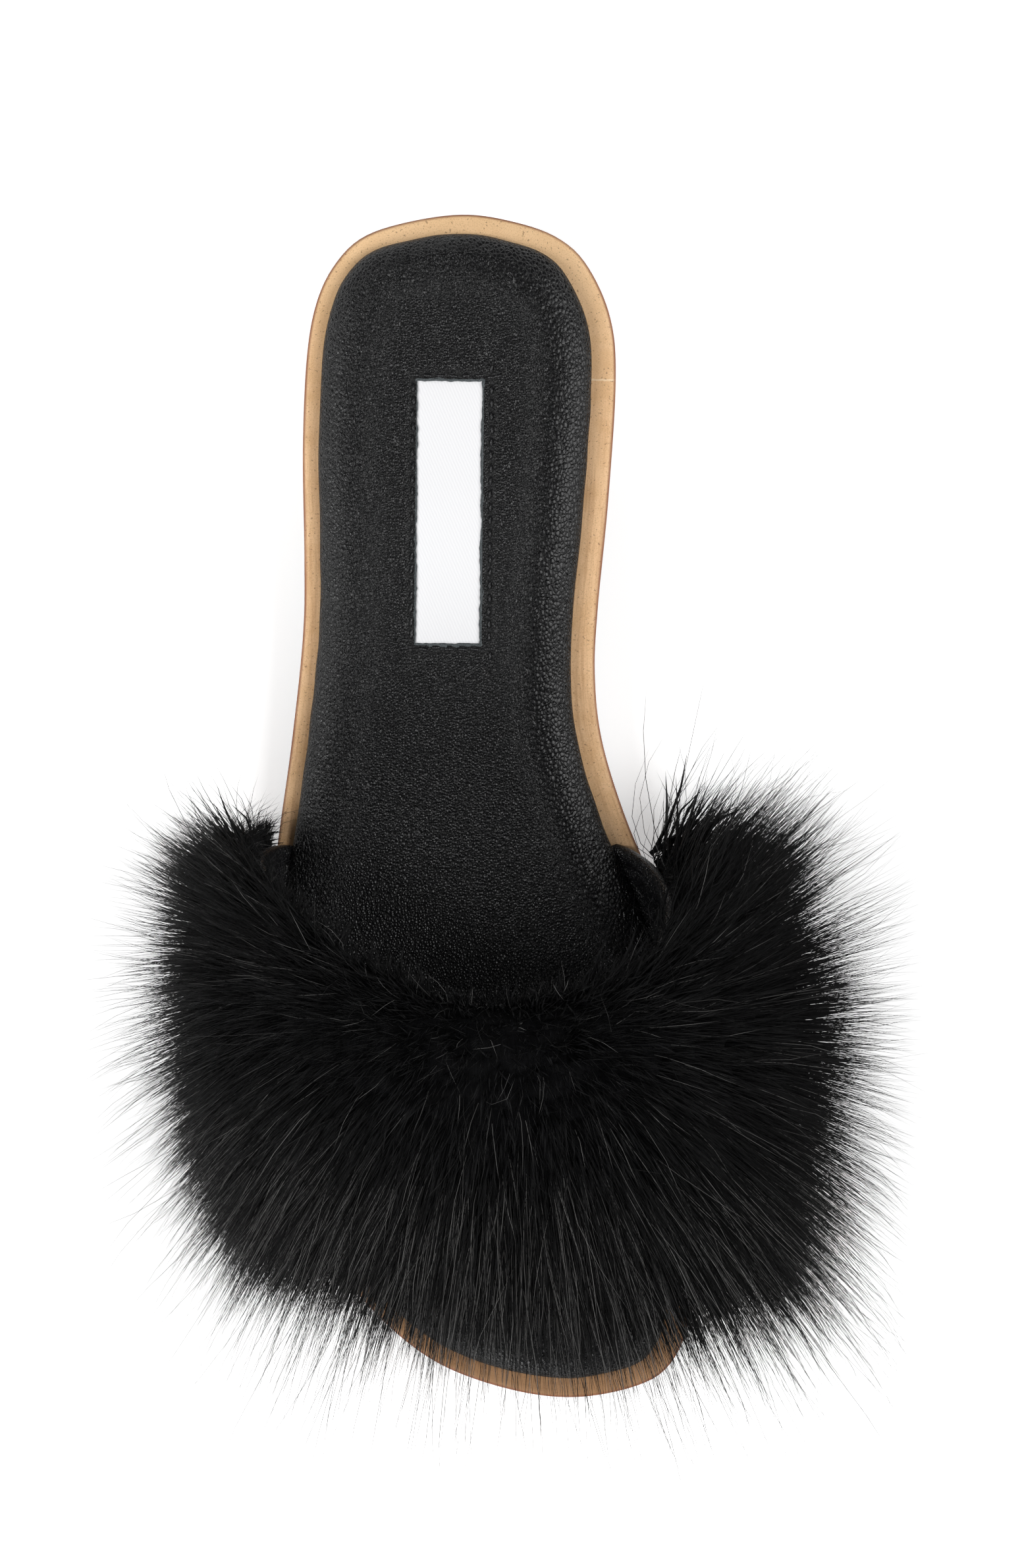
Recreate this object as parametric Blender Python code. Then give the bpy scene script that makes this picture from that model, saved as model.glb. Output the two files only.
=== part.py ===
"""Faux fur slide sandal for the right foot, as a maker's assembly of separate pieces.

The frame: +Z is up, the toe points to -Y, and +X is the medial side, where the big toe and the arch
are. The floor is Z = 0, and the origin lies on it under the middle of the heel. Lengths are in metres.
Places along the shoe are counted from the back of the heel, towards the toe.
"""
import math

import bmesh
import bpy
import numpy as np

MM = 0.001

# Room kept between two pieces that touch on the real shoe
GAP = 0.3 * MM

# Points closer together than this become one
MERGE_DISTANCE = 0.01 * MM

# Sole outline
SOLE_LENGTH = 250 * MM
BALL_WIDTH = 94 * MM
HEEL_CENTRE = 30 * MM

# Sole heights
OUTSOLE_THICKNESS = 2.5 * MM
OUTSOLE_CHAMFER = 0.5 * MM
OUTSOLE_STEP = 0.4 * MM
BOARD_THICKNESS = 6.5 * MM
BOARD_EDGE_ROUND = 0.9 * MM
HEEL_LIFT = 12 * MM
HEEL_LENGTH = 57 * MM
HEEL_TAPER = 1.2 * MM
HEEL_BREAST_HOLLOW = 4 * MM
TOP_PIECE_THICKNESS = 3 * MM
TREAD_START = 150 * MM
TREAD_END = 202 * MM
TOE_SPRING = 5 * MM

# Padded insole and the rim of the board that stays in view round it
RIM = 4.3 * MM
INSOLE_SHIFT = 0.85 * MM
INSOLE_THICKNESS = 6 * MM
INSOLE_SHOULDER = 4.2 * MM
INSOLE_CUP = 0.9 * MM

# Woven label in a window of the insole's cover
LABEL_LENGTH = 55 * MM
LABEL_WIDTH = 13.4 * MM
LABEL_THICKNESS = 0.5 * MM
LABEL_ALONG = 63 * MM
LABEL_ACROSS = -2.1 * MM
WINDOW_DEPTH = 1 * MM

# Upper: one wide band over the forefoot
BAND_WALL = 2.2 * MM
BAND_FLANGE_LENGTH = 8 * MM
BAND_FLANGE_THICKNESS = 1.2 * MM
BAND_REAR_AT_SIDE = 133 * MM
BAND_REAR_AT_TOP = 164 * MM
BAND_FRONT_AT_SIDE = 210 * MM
BAND_FRONT_AT_TOP = 215 * MM
BAND_HEIGHT_REAR = 62 * MM
BAND_HEIGHT_FRONT = 38 * MM
BAND_BULGE = 6 * MM
BAND_CREST_SHIFT = 5 * MM
BAND_EDGE_ROLL = 0.5 * MM
BAND_SQUARENESS = 2.3
BAND_SWEEP_MEDIAL = 0.85
BAND_SWEEP_LATERAL = 1.7

# Fur on the band: a dense pile with locks that stand out of it
PILE_MEDIAL = 17 * MM
PILE_TOP = 14 * MM
PILE_LATERAL = 12.5 * MM
PILE_LUMP = 1.5 * MM
LOCK_LENGTH = 21 * MM
LOCK_WIDTH = 12 * MM
LOCK_FLATNESS = 0.55
LOCK_ROOT_SHARE = 0.6
LOCK_LEAN = 1.4
LOCK_FRONT_GAIN = 0.5
LOCK_ROWS = 7
LOCKS_PER_ROW = 14
FUR_LOWEST = 8 * MM
FUR_GAP = 2 * GAP

# How the fur changes from the band's rear edge (share 0) to its front edge (share 1)
FUR_FLOW = [
    # share, depth, forward lean
    (0.00, 0.60, -1.15),
    (0.12, 0.90, -0.60),
    (0.30, 1.00, -0.05),
    (0.60, 1.00, 0.50),
    (0.85, 1.08, 1.00),
    (1.00, 1.15, 1.50),
]

# Girth and droop of one lock from its root (share 0) to near its tip (share 1)
LOCK_SHAPE = [
    # share, girth, droop
    (0.00, 0.60, 0.00),
    (0.35, 1.00, 0.03),
    (0.78, 0.50, 0.12),
]
LOCK_TIP_DROOP = 0.21

# Backward lean over the foot as a share of the lean at the sides
REAR_LEAN_AT_TOP = 0.4

# Sole outline: along is a share of the length from the heel, across a share of the ball width,
# positive on the medial side. It runs from the heel up the medial side, round the toe and back.
OUTLINE = [
    # along, across
    (0.000, 0.011),
    (0.006, 0.121),
    (0.019, 0.218),
    (0.042, 0.285),
    (0.086, 0.338),
    (0.140, 0.351),
    (0.242, 0.334),
    (0.332, 0.311),
    (0.388, 0.305),
    (0.444, 0.322),
    (0.510, 0.377),
    (0.577, 0.453),
    (0.652, 0.526),
    (0.744, 0.555),
    (0.852, 0.547),
    (0.928, 0.522),
    (0.966, 0.488),
    (0.988, 0.419),
    (1.000, 0.271),
    (0.994, 0.117),
    (0.971, -0.053),
    (0.930, -0.191),
    (0.870, -0.324),
    (0.800, -0.410),
    (0.712, -0.448),
    (0.620, -0.439),
    (0.532, -0.413),
    (0.444, -0.379),
    (0.354, -0.352),
    (0.288, -0.348),
    (0.198, -0.351),
    (0.120, -0.342),
    (0.074, -0.320),
    (0.042, -0.279),
    (0.019, -0.216),
    (0.006, -0.112),
]

# How finely the pieces are faceted
OUTLINE_STEPS = 12
SOLE_ROWS = 40
HEEL_ROWS = 14
LABEL_ROWS = 8
BAND_ROWS = 11
BAND_ARCH_STEPS = 26
LOCK_SIDES = 4

FINISHES = {
    # name: red, green, blue, roughness
    "heel_rubber": (0.035, 0.03, 0.028, 0.7),
    "heel_stack": (0.36, 0.21, 0.11, 0.5),
    "outsole_rubber": (0.03, 0.03, 0.03, 0.7),
    "tan_board": (0.56, 0.36, 0.19, 0.55),
    "insole_leather": (0.02, 0.02, 0.022, 0.42),
    "label_weave": (0.85, 0.85, 0.86, 0.8),
    "band_leather": (0.018, 0.018, 0.02, 0.45),
    "long_fur": (0.008, 0.008, 0.01, 0.6),
}


def clear_scene():
    for old in list(bpy.data.objects):
        bpy.data.objects.remove(old)


def material(name):
    red, green, blue, roughness = FINISHES[name]
    made = bpy.data.materials.new(name)
    made.use_nodes = True
    shader = made.node_tree.nodes["Principled BSDF"]
    shader.inputs["Base Color"].default_value = (red, green, blue, 1)
    shader.inputs["Roughness"].default_value = roughness
    shader.inputs["Metallic"].default_value = 0
    return made


def side_faces(ids):
    """Quads over a grid of vertex numbers."""
    return np.stack([ids[:-1, :-1], ids[1:, :-1], ids[1:, 1:], ids[:-1, 1:]], -1).reshape(-1, 4)


def block_mesh(name, points):
    """A closed mesh over the six sides of a block of points[level, row, column]."""
    points = np.asarray(points, float)
    ids = np.arange(points[..., 0].size).reshape(points.shape[:3])
    sides = [ids[0], ids[-1], ids[:, 0], ids[:, -1], ids[:, :, 0], ids[:, :, -1]]
    faces = np.concatenate([side_faces(side) for side in sides])
    used, faces = np.unique(faces, return_inverse=True)
    mesh = bpy.data.meshes.new(name)
    mesh.from_pydata(points.reshape(-1, 3)[used].tolist(), [], faces.reshape(-1, 4).tolist())
    close_mesh(mesh)
    return mesh


def close_mesh(mesh):
    """Merges what collapses to a point, splits the faces into triangles and turns them outwards."""
    work = bmesh.new()
    work.from_mesh(mesh)
    bmesh.ops.remove_doubles(work, verts=work.verts[:], dist=MERGE_DISTANCE)
    bmesh.ops.triangulate(work, faces=work.faces[:])
    bmesh.ops.recalc_face_normals(work, faces=work.faces[:])
    work.to_mesh(mesh)
    work.free()


def add_piece(name, mesh, finish, sharp_degrees=40):
    piece = bpy.data.objects.new(name, mesh)
    bpy.context.scene.collection.objects.link(piece)
    mesh.materials.append(finish)
    mesh.shade_smooth()
    mesh.set_sharp_from_angle(angle=math.radians(sharp_degrees))
    return piece


def add_cutter(name, mesh):
    cutter = bpy.data.objects.new(name, mesh)
    bpy.context.scene.collection.objects.link(cutter)
    cutter.hide_render = True
    cutter.display_type = "WIRE"
    return cutter


def boolean(piece, cutter, operation):
    step = piece.modifiers.new(cutter.name, "BOOLEAN")
    step.object = cutter
    step.operation = operation
    step.solver = "EXACT"
    return step


def smoothstep(share):
    share = np.clip(share, 0, 1)
    return share * share * (3 - 2 * share)


# The sole's outline and its rows

def outline():
    """A closed smooth curve through the outline's points, as an array of x and y."""
    along, across = np.array(OUTLINE).T
    corners = np.stack([across * BALL_WIDTH, HEEL_CENTRE - along * SOLE_LENGTH], 1)
    before, after = np.roll(corners, 1, 0), np.roll(corners, -1, 0)
    beyond = np.roll(corners, -2, 0)
    steps = (np.arange(OUTLINE_STEPS) / OUTLINE_STEPS)[None, :, None]
    a, b, c, d = (p[:, None, :] for p in (before, corners, after, beyond))
    curve = 0.5 * (
        2 * b
        + (c - a) * steps
        + (2 * a - 5 * b + 4 * c - d) * steps**2
        + (3 * b - a - 3 * c + d) * steps**3
    )
    return curve.reshape(-1, 2)


def inset(curve, distance):
    """The curve moved inwards by a distance. The curve runs round with its inside on the right."""
    ahead = np.roll(curve, -1, 0) - np.roll(curve, 1, 0)
    ahead /= np.linalg.norm(ahead, axis=1)[:, None]
    return curve + distance * np.stack([ahead[:, 1], -ahead[:, 0]], 1)


def edges(curve):
    """The medial and lateral halves of a closed curve, each from heel to toe, as x for a given y."""
    heel, toe = int(np.argmax(curve[:, 1])), int(np.argmin(curve[:, 1]))
    turned = np.roll(curve, -heel, 0)
    toe = (toe - heel) % len(curve)
    medial = turned[: toe + 1][::-1]
    lateral = np.vstack([turned[toe:], turned[:1]])
    return medial, lateral


def edge_x(half, y):
    return np.interp(y, half[:, 1], half[:, 0])


def grid_rows(curve, rows, columns):
    """A grid of x and y over the inside of a closed curve, with its rows closer at heel and toe."""
    medial, lateral = edges(curve)
    heel_y, toe_y = medial[-1, 1], medial[0, 1]
    share = (1 - np.cos(np.pi * np.arange(rows + 1) / rows)) / 2
    y = heel_y + share * (toe_y - heel_y)
    left, right = edge_x(lateral, y), edge_x(medial, y)
    cross = np.linspace(0, 1, columns + 1)
    x = left[:, None] + (right - left)[:, None] * cross
    return np.stack([x, np.broadcast_to(y[:, None], x.shape)], -1)


def with_height(grid, height):
    return np.concatenate([grid, np.broadcast_to(height, grid.shape[:2])[..., None]], -1)


def along_of(y):
    return HEEL_CENTRE - y


# Heights along the shoe

def sole_underside(y):
    """Height of the outsole's underside: level over the heel, down the waist, flat, then toe spring."""
    along = along_of(y)
    waist = smoothstep((along - HEEL_LENGTH) / (TREAD_START - HEEL_LENGTH))
    spring = np.clip((along - TREAD_END) / (SOLE_LENGTH - TREAD_END), 0, 1) ** 2
    return HEEL_LIFT * (1 - waist) + TOE_SPRING * spring


def board_underside(y):
    return sole_underside(y) + OUTSOLE_THICKNESS + GAP


def board_top(y):
    return board_underside(y) + BOARD_THICKNESS


def insole_underside(y):
    return board_top(y) + GAP


def insole_outline(distance=0.0):
    """The insole's outline. It lies a little to the lateral side of the board's middle."""
    return inset(outline(), RIM + distance) - np.array([INSOLE_SHIFT, 0])


def insole_top(x, y):
    """Height of the insole's top, which is cupped across and most of all under the heel."""
    medial, lateral = edges(insole_outline(INSOLE_SHOULDER))
    left, right = edge_x(lateral, y), edge_x(medial, y)
    cross = np.clip((x - left) / np.maximum(right - left, MM), 0, 1)
    heel_share = 1 - smoothstep(along_of(y) / SOLE_LENGTH)
    cup = INSOLE_CUP * (0.4 + 0.6 * heel_share) * 4 * cross * (1 - cross)
    return insole_underside(y) + INSOLE_THICKNESS - cup


# Sole pieces

def plate(name, levels, columns, finish):
    """A piece that follows the outline. Each level is a closed curve and a function of its height."""
    layers = []
    for curve, height in levels:
        grid = grid_rows(curve, SOLE_ROWS, columns)
        layers.append(with_height(grid, height(grid[..., 0], grid[..., 1])))
    return add_piece(name, block_mesh(name, layers), finish)


def build_outsole(finish):
    edge = inset(outline(), OUTSOLE_STEP)
    levels = [
        (inset(edge, OUTSOLE_CHAMFER), lambda x, y: sole_underside(y)),
        (edge, lambda x, y: sole_underside(y) + OUTSOLE_CHAMFER),
        (edge, lambda x, y: sole_underside(y) + OUTSOLE_THICKNESS),
    ]
    return plate("outsole", levels, 2, finish)


def build_board(finish):
    whole = outline()
    edge = BOARD_EDGE_ROUND
    levels = [
        (whole, lambda x, y: board_underside(y)),
        (whole, lambda x, y: board_top(y) - edge),
        (inset(whole, 0.3 * edge), lambda x, y: board_top(y) - 0.3 * edge),
        (inset(whole, edge), lambda x, y: board_top(y)),
    ]
    return plate("sole_board", levels, 2, finish)


def build_insole(finish):
    # The cushion's side: inset as a share of the shoulder, height as a share of the thickness
    side = [(0.14, 0.0), (0.0, 0.2), (0.0, 0.5), (0.16, 0.78), (0.5, 0.95)]
    levels = []
    for inset_share, height_share in side:
        curve = insole_outline(inset_share * INSOLE_SHOULDER)
        lift = height_share * INSOLE_THICKNESS
        levels.append((curve, lambda x, y, lift=lift: insole_underside(y) + lift))
    levels.append((insole_outline(INSOLE_SHOULDER), insole_top))
    insole = plate("insole", levels, 6, finish)
    for name, mesh in [("window_cutter", window_mesh())] + flange_cutters():
        boolean(insole, add_cutter(name, mesh), "DIFFERENCE")
    return insole


def label_block(width, length, low, high):
    """A block that follows the insole's top, between two depths measured from it."""
    x = LABEL_ACROSS + width * np.linspace(-0.5, 0.5, 5)
    y = HEEL_CENTRE - LABEL_ALONG - length * np.linspace(-0.5, 0.5, LABEL_ROWS + 1)
    x, y = np.meshgrid(x, y)
    grid = np.stack([x, y], -1)
    top = insole_top(x, y)
    return [with_height(grid, top + low), with_height(grid, top + high)]


def window_mesh():
    width, length = LABEL_WIDTH + 2 * GAP, LABEL_LENGTH + 2 * GAP
    return block_mesh("window_cutter", label_block(width, length, -WINDOW_DEPTH, WINDOW_DEPTH))


def build_label(finish):
    low = GAP - WINDOW_DEPTH
    points = label_block(LABEL_WIDTH, LABEL_LENGTH, low, low + LABEL_THICKNESS)
    return add_piece("label", block_mesh("label", points), finish)


def heel_piece(name, levels, finish):
    """A piece under the heel. Its front face, the breast, is hollowed towards the heel's back."""
    columns = 6
    hollow = 1 - np.linspace(-1, 1, columns + 1) ** 2
    layers = []
    for distance, height in levels:
        medial, lateral = edges(inset(outline(), distance))
        back = medial[-1, 1]
        breast = HEEL_CENTRE - HEEL_LENGTH + distance
        share = 1 - np.cos(np.pi / 2 * np.arange(HEEL_ROWS + 1) / HEEL_ROWS)
        y = back + share * (breast - back)
        left, right = edge_x(lateral, y), edge_x(medial, y)
        x = left[:, None] + (right - left)[:, None] * np.linspace(0, 1, columns + 1)
        bowed = y[:, None] + HEEL_BREAST_HOLLOW * (share**3)[:, None] * hollow
        layers.append(with_height(np.stack([x, bowed], -1), height))
    return add_piece(name, block_mesh(name, layers), finish)


def build_heel_block(finish):
    levels = [
        (HEEL_TAPER, TOP_PIECE_THICKNESS + GAP),
        (0.3 * HEEL_TAPER, HEEL_LIFT - GAP),
    ]
    return heel_piece("heel_block", levels, finish)


def build_top_piece(finish):
    levels = [
        (HEEL_TAPER + OUTSOLE_CHAMFER, 0.0),
        (HEEL_TAPER, OUTSOLE_CHAMFER),
        (HEEL_TAPER, TOP_PIECE_THICKNESS),
    ]
    return heel_piece("heel_top_piece", levels, finish)


# The upper

def band_along(turn, share):
    """Place along the shoe for a turn over the foot (0 medial foot, 1 lateral) and a share from the rear edge."""
    sweep = np.where(turn < 0.5, BAND_SWEEP_MEDIAL, BAND_SWEEP_LATERAL)
    rise = np.clip(np.sin(np.pi * turn), 0, 1) ** sweep
    rear = BAND_REAR_AT_SIDE + (BAND_REAR_AT_TOP - BAND_REAR_AT_SIDE) * rise
    front = BAND_FRONT_AT_SIDE + (BAND_FRONT_AT_TOP - BAND_FRONT_AT_SIDE) * rise
    return rear + (front - rear) * share


def band_feet(y):
    """x of the band's inner face where it leaves the sole, on the medial and the lateral side."""
    medial, lateral = edges(insole_outline(-GAP))
    return edge_x(medial, y), edge_x(lateral, y)


def band_arch(turn, share):
    """Inner face of the band over the foot: a squared arch, fuller at half its height."""
    along = band_along(turn, share)
    y = HEEL_CENTRE - along
    right, left = band_feet(y)
    run = (along - BAND_REAR_AT_SIDE) / (BAND_FRONT_AT_SIDE - BAND_REAR_AT_SIDE)
    height = BAND_HEIGHT_REAR + (BAND_HEIGHT_FRONT - BAND_HEIGHT_REAR) * run
    angle = np.pi * turn
    power = 2 / BAND_SQUARENESS
    across = np.sign(np.cos(angle)) * np.abs(np.cos(angle)) ** power
    rise = np.abs(np.sin(angle)) ** power
    half = (right - left) / 2 + BAND_BULGE * np.sin(np.pi * rise**0.7)
    x = (right + left) / 2 + half * across + BAND_CREST_SHIFT * rise**2
    z = board_top(y) + GAP + BAND_FLANGE_THICKNESS + height * rise
    return np.stack([x, y, z], -1)


def band_faces():
    """Inner and outer points of the band, [row, step], with the flanges that run in under the insole."""
    turn = np.linspace(0, 1, BAND_ARCH_STEPS + 1)
    turn = turn - np.sin(4 * np.pi * turn) / (8 * np.pi)
    roll = np.array([0.0, 0.02, 0.05, 0.08])
    share = np.concatenate([roll, np.linspace(0.18, 0.88, BAND_ROWS - 6), 1 - roll[2::-1]])
    turns, shares = np.meshgrid(turn, share)
    arch = band_arch(turns, shares)
    inwards = np.array([0.06, 0.5, 1.0]) * BAND_FLANGE_LENGTH
    medial_flange = arch[:, :1] - np.stack([inwards[::-1], 0 * inwards, 0 * inwards], -1)
    lateral_flange = arch[:, -1:] + np.stack([inwards, 0 * inwards, 0 * inwards], -1)
    inner = np.concatenate([medial_flange, arch, lateral_flange], 1)
    normal = grid_normals(inner)
    flange_steps = len(inwards)
    wall = np.full(inner.shape[:2], BAND_WALL)
    wall[:, :flange_steps] = wall[:, -flange_steps:] = BAND_FLANGE_THICKNESS
    outer = inner + normal * wall[..., None]
    lowest = board_top(outer[..., 1]) + GAP
    outer[..., 2] = np.maximum(outer[..., 2], lowest)
    outer[:, :flange_steps, 2] = lowest[:, :flange_steps]
    outer[:, -flange_steps:, 2] = lowest[:, -flange_steps:]
    return inner, outer, normal, share


def grid_normals(points):
    """Unit normals of a grid of points, pointing away from the foot."""
    across, along = np.gradient(points, axis=1), np.gradient(points, axis=0)
    normal = np.cross(across, along)
    return normal / np.linalg.norm(normal, axis=-1)[..., None]


def build_upper(finish):
    inner, outer, normal, share = band_faces()
    edge = np.minimum(share, 1 - share)
    roll = BAND_EDGE_ROLL * np.interp(edge, [0, 0.02, 0.05, 0.08], [-0.6, 1, 0.9, 0])
    over_foot = np.ones(inner.shape[1])
    over_foot[:4] = over_foot[-4:] = 0
    swell = normal * (roll[:, None] * over_foot)[..., None]
    return add_piece("upper", block_mesh("upper", [inner - swell, outer + swell]), finish)


def flange_cutters():
    """Room in the insole's underside for the band's two flanges."""
    along = np.linspace(BAND_REAR_AT_SIDE - 2 * GAP, BAND_FRONT_AT_SIDE + 2 * GAP, 9)
    y = HEEL_CENTRE - along
    medial, lateral = band_feet(y)
    reach = BAND_FLANGE_LENGTH + 2 * GAP
    low, high = board_top(y) - GAP, board_top(y) + BAND_FLANGE_THICKNESS + 3 * GAP
    cutters = []
    for name, foot, inwards in (("medial_notch", medial, -reach), ("lateral_notch", lateral, reach)):
        x = np.stack([foot - inwards, foot + inwards], 1)
        grid = np.stack([x, np.broadcast_to(y[:, None], x.shape)], -1)
        layers = [with_height(grid, low[:, None]), with_height(grid, high[:, None])]
        cutters.append((name, block_mesh(name, layers)))
    return cutters


# The fur

def flow(share):
    """Depth as a share of the pile's, and forward lean, for a share from the band's rear edge."""
    shares, depth, lean = np.array(FUR_FLOW).T
    return np.interp(share, shares, depth), np.interp(share, shares, lean)


def pile_depth(turn, share):
    """Depth of the dense pile over the band: deepest on the medial side, in soft lumps."""
    side = np.interp(turn, [0, 0.5, 1], [PILE_MEDIAL, PILE_TOP, PILE_LATERAL])
    foot = np.interp(np.minimum(turn, 1 - turn), [0, 0.1, 0.22], [0.6, 0.92, 1])
    lump = np.sin(41 * turn + 9 * share) * np.sin(17 * share + 5 * turn + 1)
    return side * flow(share)[0] * foot + PILE_LUMP * lump


def comb(turn, share, normal, strength=1.0):
    """Direction in which the fur is combed: back at the band's rear edge, forward and down in front."""
    sideways = np.abs(np.cos(np.pi * turn))
    forward = flow(share)[1]
    forward = np.where(forward < 0, forward * (REAR_LEAN_AT_TOP + (1 - REAR_LEAN_AT_TOP) * sideways), forward)
    lean = np.zeros(normal.shape)
    lean[..., 1] = -forward
    lean[..., 2] = -0.35 * sideways - 0.25 * np.clip(forward, 0, 2)
    direction = normal + strength * lean
    return direction / np.linalg.norm(direction, axis=-1)[..., None]


def fur_base(turn, share):
    """Points just off the band's outer face and the normals there, for arrays of turn and share."""
    nudge = 0.001
    here = band_arch(turn, share)
    across = band_arch(turn + nudge, share) - band_arch(turn - nudge, share)
    along = band_arch(turn, share + nudge) - band_arch(turn, share - nudge)
    normal = np.cross(across, along)
    normal /= np.linalg.norm(normal, axis=-1)[..., None]
    return here + normal * (BAND_WALL + BAND_EDGE_ROLL + FUR_GAP), normal


def pile_surface(turn, share):
    """Base points and normals of the pile, and its top points, which lie off the base as it is combed."""
    base, normal = fur_base(turn, share)
    top = base + comb(turn, share, normal) * pile_depth(turn, share)[..., None]
    top[..., 2] = np.maximum(top[..., 2], FUR_LOWEST)
    return base, normal, top


def pile_mesh():
    turns, shares = np.meshgrid(np.linspace(0.045, 0.955, 23), np.linspace(0.02, 0.98, 9))
    base, _, top = pile_surface(turns, shares)
    return block_mesh("fur", [base, top])


def lock_places():
    """Turn and share of every lock's root, in staggered rows that are a little uneven."""
    rng = np.random.default_rng(7)
    row, column = np.meshgrid(np.arange(LOCK_ROWS), np.arange(LOCKS_PER_ROW), indexing="ij")
    uneven = rng.uniform(-0.22, 0.22, (2,) + row.shape)
    turn = (column + 0.25 + 0.5 * (row % 2) + uneven[0]) / LOCKS_PER_ROW
    share = (row + 0.5 + uneven[1]) / LOCK_ROWS
    length = rng.uniform(0.72, 1.0, row.shape)
    return (0.05 + 0.9 * turn).ravel(), (0.02 + 0.96 * share).ravel(), length.ravel()


def locks_mesh():
    """All locks: flattened, drooping cones with their roots sunk in the pile."""
    turn, share, uneven = lock_places()
    base, normal, top = pile_surface(turn, share)
    direction = comb(turn, share, normal, LOCK_LEAN)
    root = base + (top - base) * LOCK_ROOT_SHARE
    longer_in_front = 1 + LOCK_FRONT_GAIN * share**2
    length = uneven * LOCK_LENGTH * longer_in_front * pile_depth(turn, share) / PILE_TOP
    down = np.array([0, 0, -1.0])
    broad = np.cross(direction, down)
    broad /= np.linalg.norm(broad, axis=1)[:, None]
    thin = np.cross(broad, direction) * LOCK_FLATNESS
    angle = 2 * np.pi * np.arange(LOCK_SIDES) / LOCK_SIDES
    ring = np.cos(angle)[:, None, None] * broad + np.sin(angle)[:, None, None] * thin
    shares, girths, droops = np.array(LOCK_SHAPE).T
    centre = root + length[:, None] * (shares[:, None, None] * direction + droops[:, None, None] * down)
    radius = girths * LOCK_WIDTH / 2
    centre[..., 2] = np.maximum(centre[..., 2], FUR_LOWEST + radius[:, None])
    rings = centre[:, None] + radius[:, None, None, None] * ring
    tips = root + length[:, None] * (direction + LOCK_TIP_DROOP * down)
    tips[:, 2] = np.maximum(tips[:, 2], FUR_LOWEST)
    verts = np.concatenate([rings.reshape(-1, len(turn), 3), tips[None]]).transpose(1, 0, 2)
    faces = cone_faces(len(shares), LOCK_SIDES)
    count = verts.shape[1]
    faces = [[i * count + v for v in face] for i in range(len(turn)) for face in faces]
    mesh = bpy.data.meshes.new("locks")
    mesh.from_pydata(verts.reshape(-1, 3).tolist(), [], faces)
    close_mesh(mesh)
    return mesh


def cone_faces(rings, sides):
    """Faces of a closed cone of rings of points that ends in one tip point."""
    around = [(i, (i + 1) % sides) for i in range(sides)]
    faces = [list(range(sides))[::-1]]
    for ring in range(rings - 1):
        low, high = ring * sides, (ring + 1) * sides
        faces += [[low + i, low + j, high + j, high + i] for i, j in around]
    last = (rings - 1) * sides
    faces += [[last + i, last + j, rings * sides] for i, j in around]
    return faces


def build_fur(finish):
    fur = add_piece("fur", pile_mesh(), finish, sharp_degrees=60)
    fused = boolean(fur, add_cutter("locks", locks_mesh()), "UNION")
    fused.use_self = True
    return fur


def main():
    clear_scene()
    build_top_piece(material("heel_rubber"))
    build_heel_block(material("heel_stack"))
    build_outsole(material("outsole_rubber"))
    build_board(material("tan_board"))
    build_insole(material("insole_leather"))
    build_label(material("label_weave"))
    build_upper(material("band_leather"))
    build_fur(material("long_fur"))


main()
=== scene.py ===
# %% [markdown]
# # A fake fur slide sandal
# The real shoe is a flat slide for the right foot: a tan board sole on a low stacked heel, a padded black
# insole with a woven label, and one wide band over the forefoot that is covered in long black fake fur.
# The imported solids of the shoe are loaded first. They fix every size, and each visible piece below is a
# finer surface that takes the place of its solid. The page of the photo looks straight down on the shoe,
# with the toe at the bottom.

import math

import bmesh
import bpy
import numpy as np
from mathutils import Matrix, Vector


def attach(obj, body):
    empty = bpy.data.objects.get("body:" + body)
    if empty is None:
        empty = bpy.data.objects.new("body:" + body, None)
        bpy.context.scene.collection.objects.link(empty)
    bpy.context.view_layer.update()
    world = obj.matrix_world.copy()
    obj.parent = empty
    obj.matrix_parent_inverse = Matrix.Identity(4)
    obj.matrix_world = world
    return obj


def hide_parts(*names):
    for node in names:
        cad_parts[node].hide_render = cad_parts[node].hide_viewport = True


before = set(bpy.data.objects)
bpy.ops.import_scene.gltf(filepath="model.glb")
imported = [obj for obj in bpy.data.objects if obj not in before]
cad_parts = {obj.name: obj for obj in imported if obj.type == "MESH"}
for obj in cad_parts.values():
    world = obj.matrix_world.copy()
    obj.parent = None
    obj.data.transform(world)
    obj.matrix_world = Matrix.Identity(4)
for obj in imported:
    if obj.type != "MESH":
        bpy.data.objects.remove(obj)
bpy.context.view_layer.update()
print("solids:", sorted(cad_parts))

# %% [markdown]
# ## Sizes
# These are the sizes that the solids were made with, in metres. They are written out again because a finer
# surface has to lie where its solid lies. The floor is at height 0, the toe points to -Y, and +X is the
# medial side. Places along the shoe are counted from the back of the heel.

# %% Named sizes
MM = 0.001
GAP = 0.3 * MM
SOLE_LENGTH = 250 * MM
BALL_WIDTH = 94 * MM
HEEL_CENTRE = 30 * MM
OUTSOLE_THICKNESS = 2.5 * MM
OUTSOLE_STEP = 0.4 * MM
BOARD_THICKNESS = 6.5 * MM
HEEL_LIFT = 12 * MM
HEEL_LENGTH = 57 * MM
HEEL_TAPER = 1.2 * MM
HEEL_BREAST_HOLLOW = 4 * MM
TOP_PIECE_THICKNESS = 3 * MM
TREAD_START = 150 * MM
TREAD_END = 202 * MM
TOE_SPRING = 5 * MM
RIM = 4.3 * MM
INSOLE_SHIFT = 0.85 * MM
INSOLE_THICKNESS = 6 * MM
INSOLE_SHOULDER = 4.2 * MM
INSOLE_CUP = 0.9 * MM
LABEL_LENGTH = 55 * MM
LABEL_WIDTH = 13.4 * MM
LABEL_ALONG = 63 * MM
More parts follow.
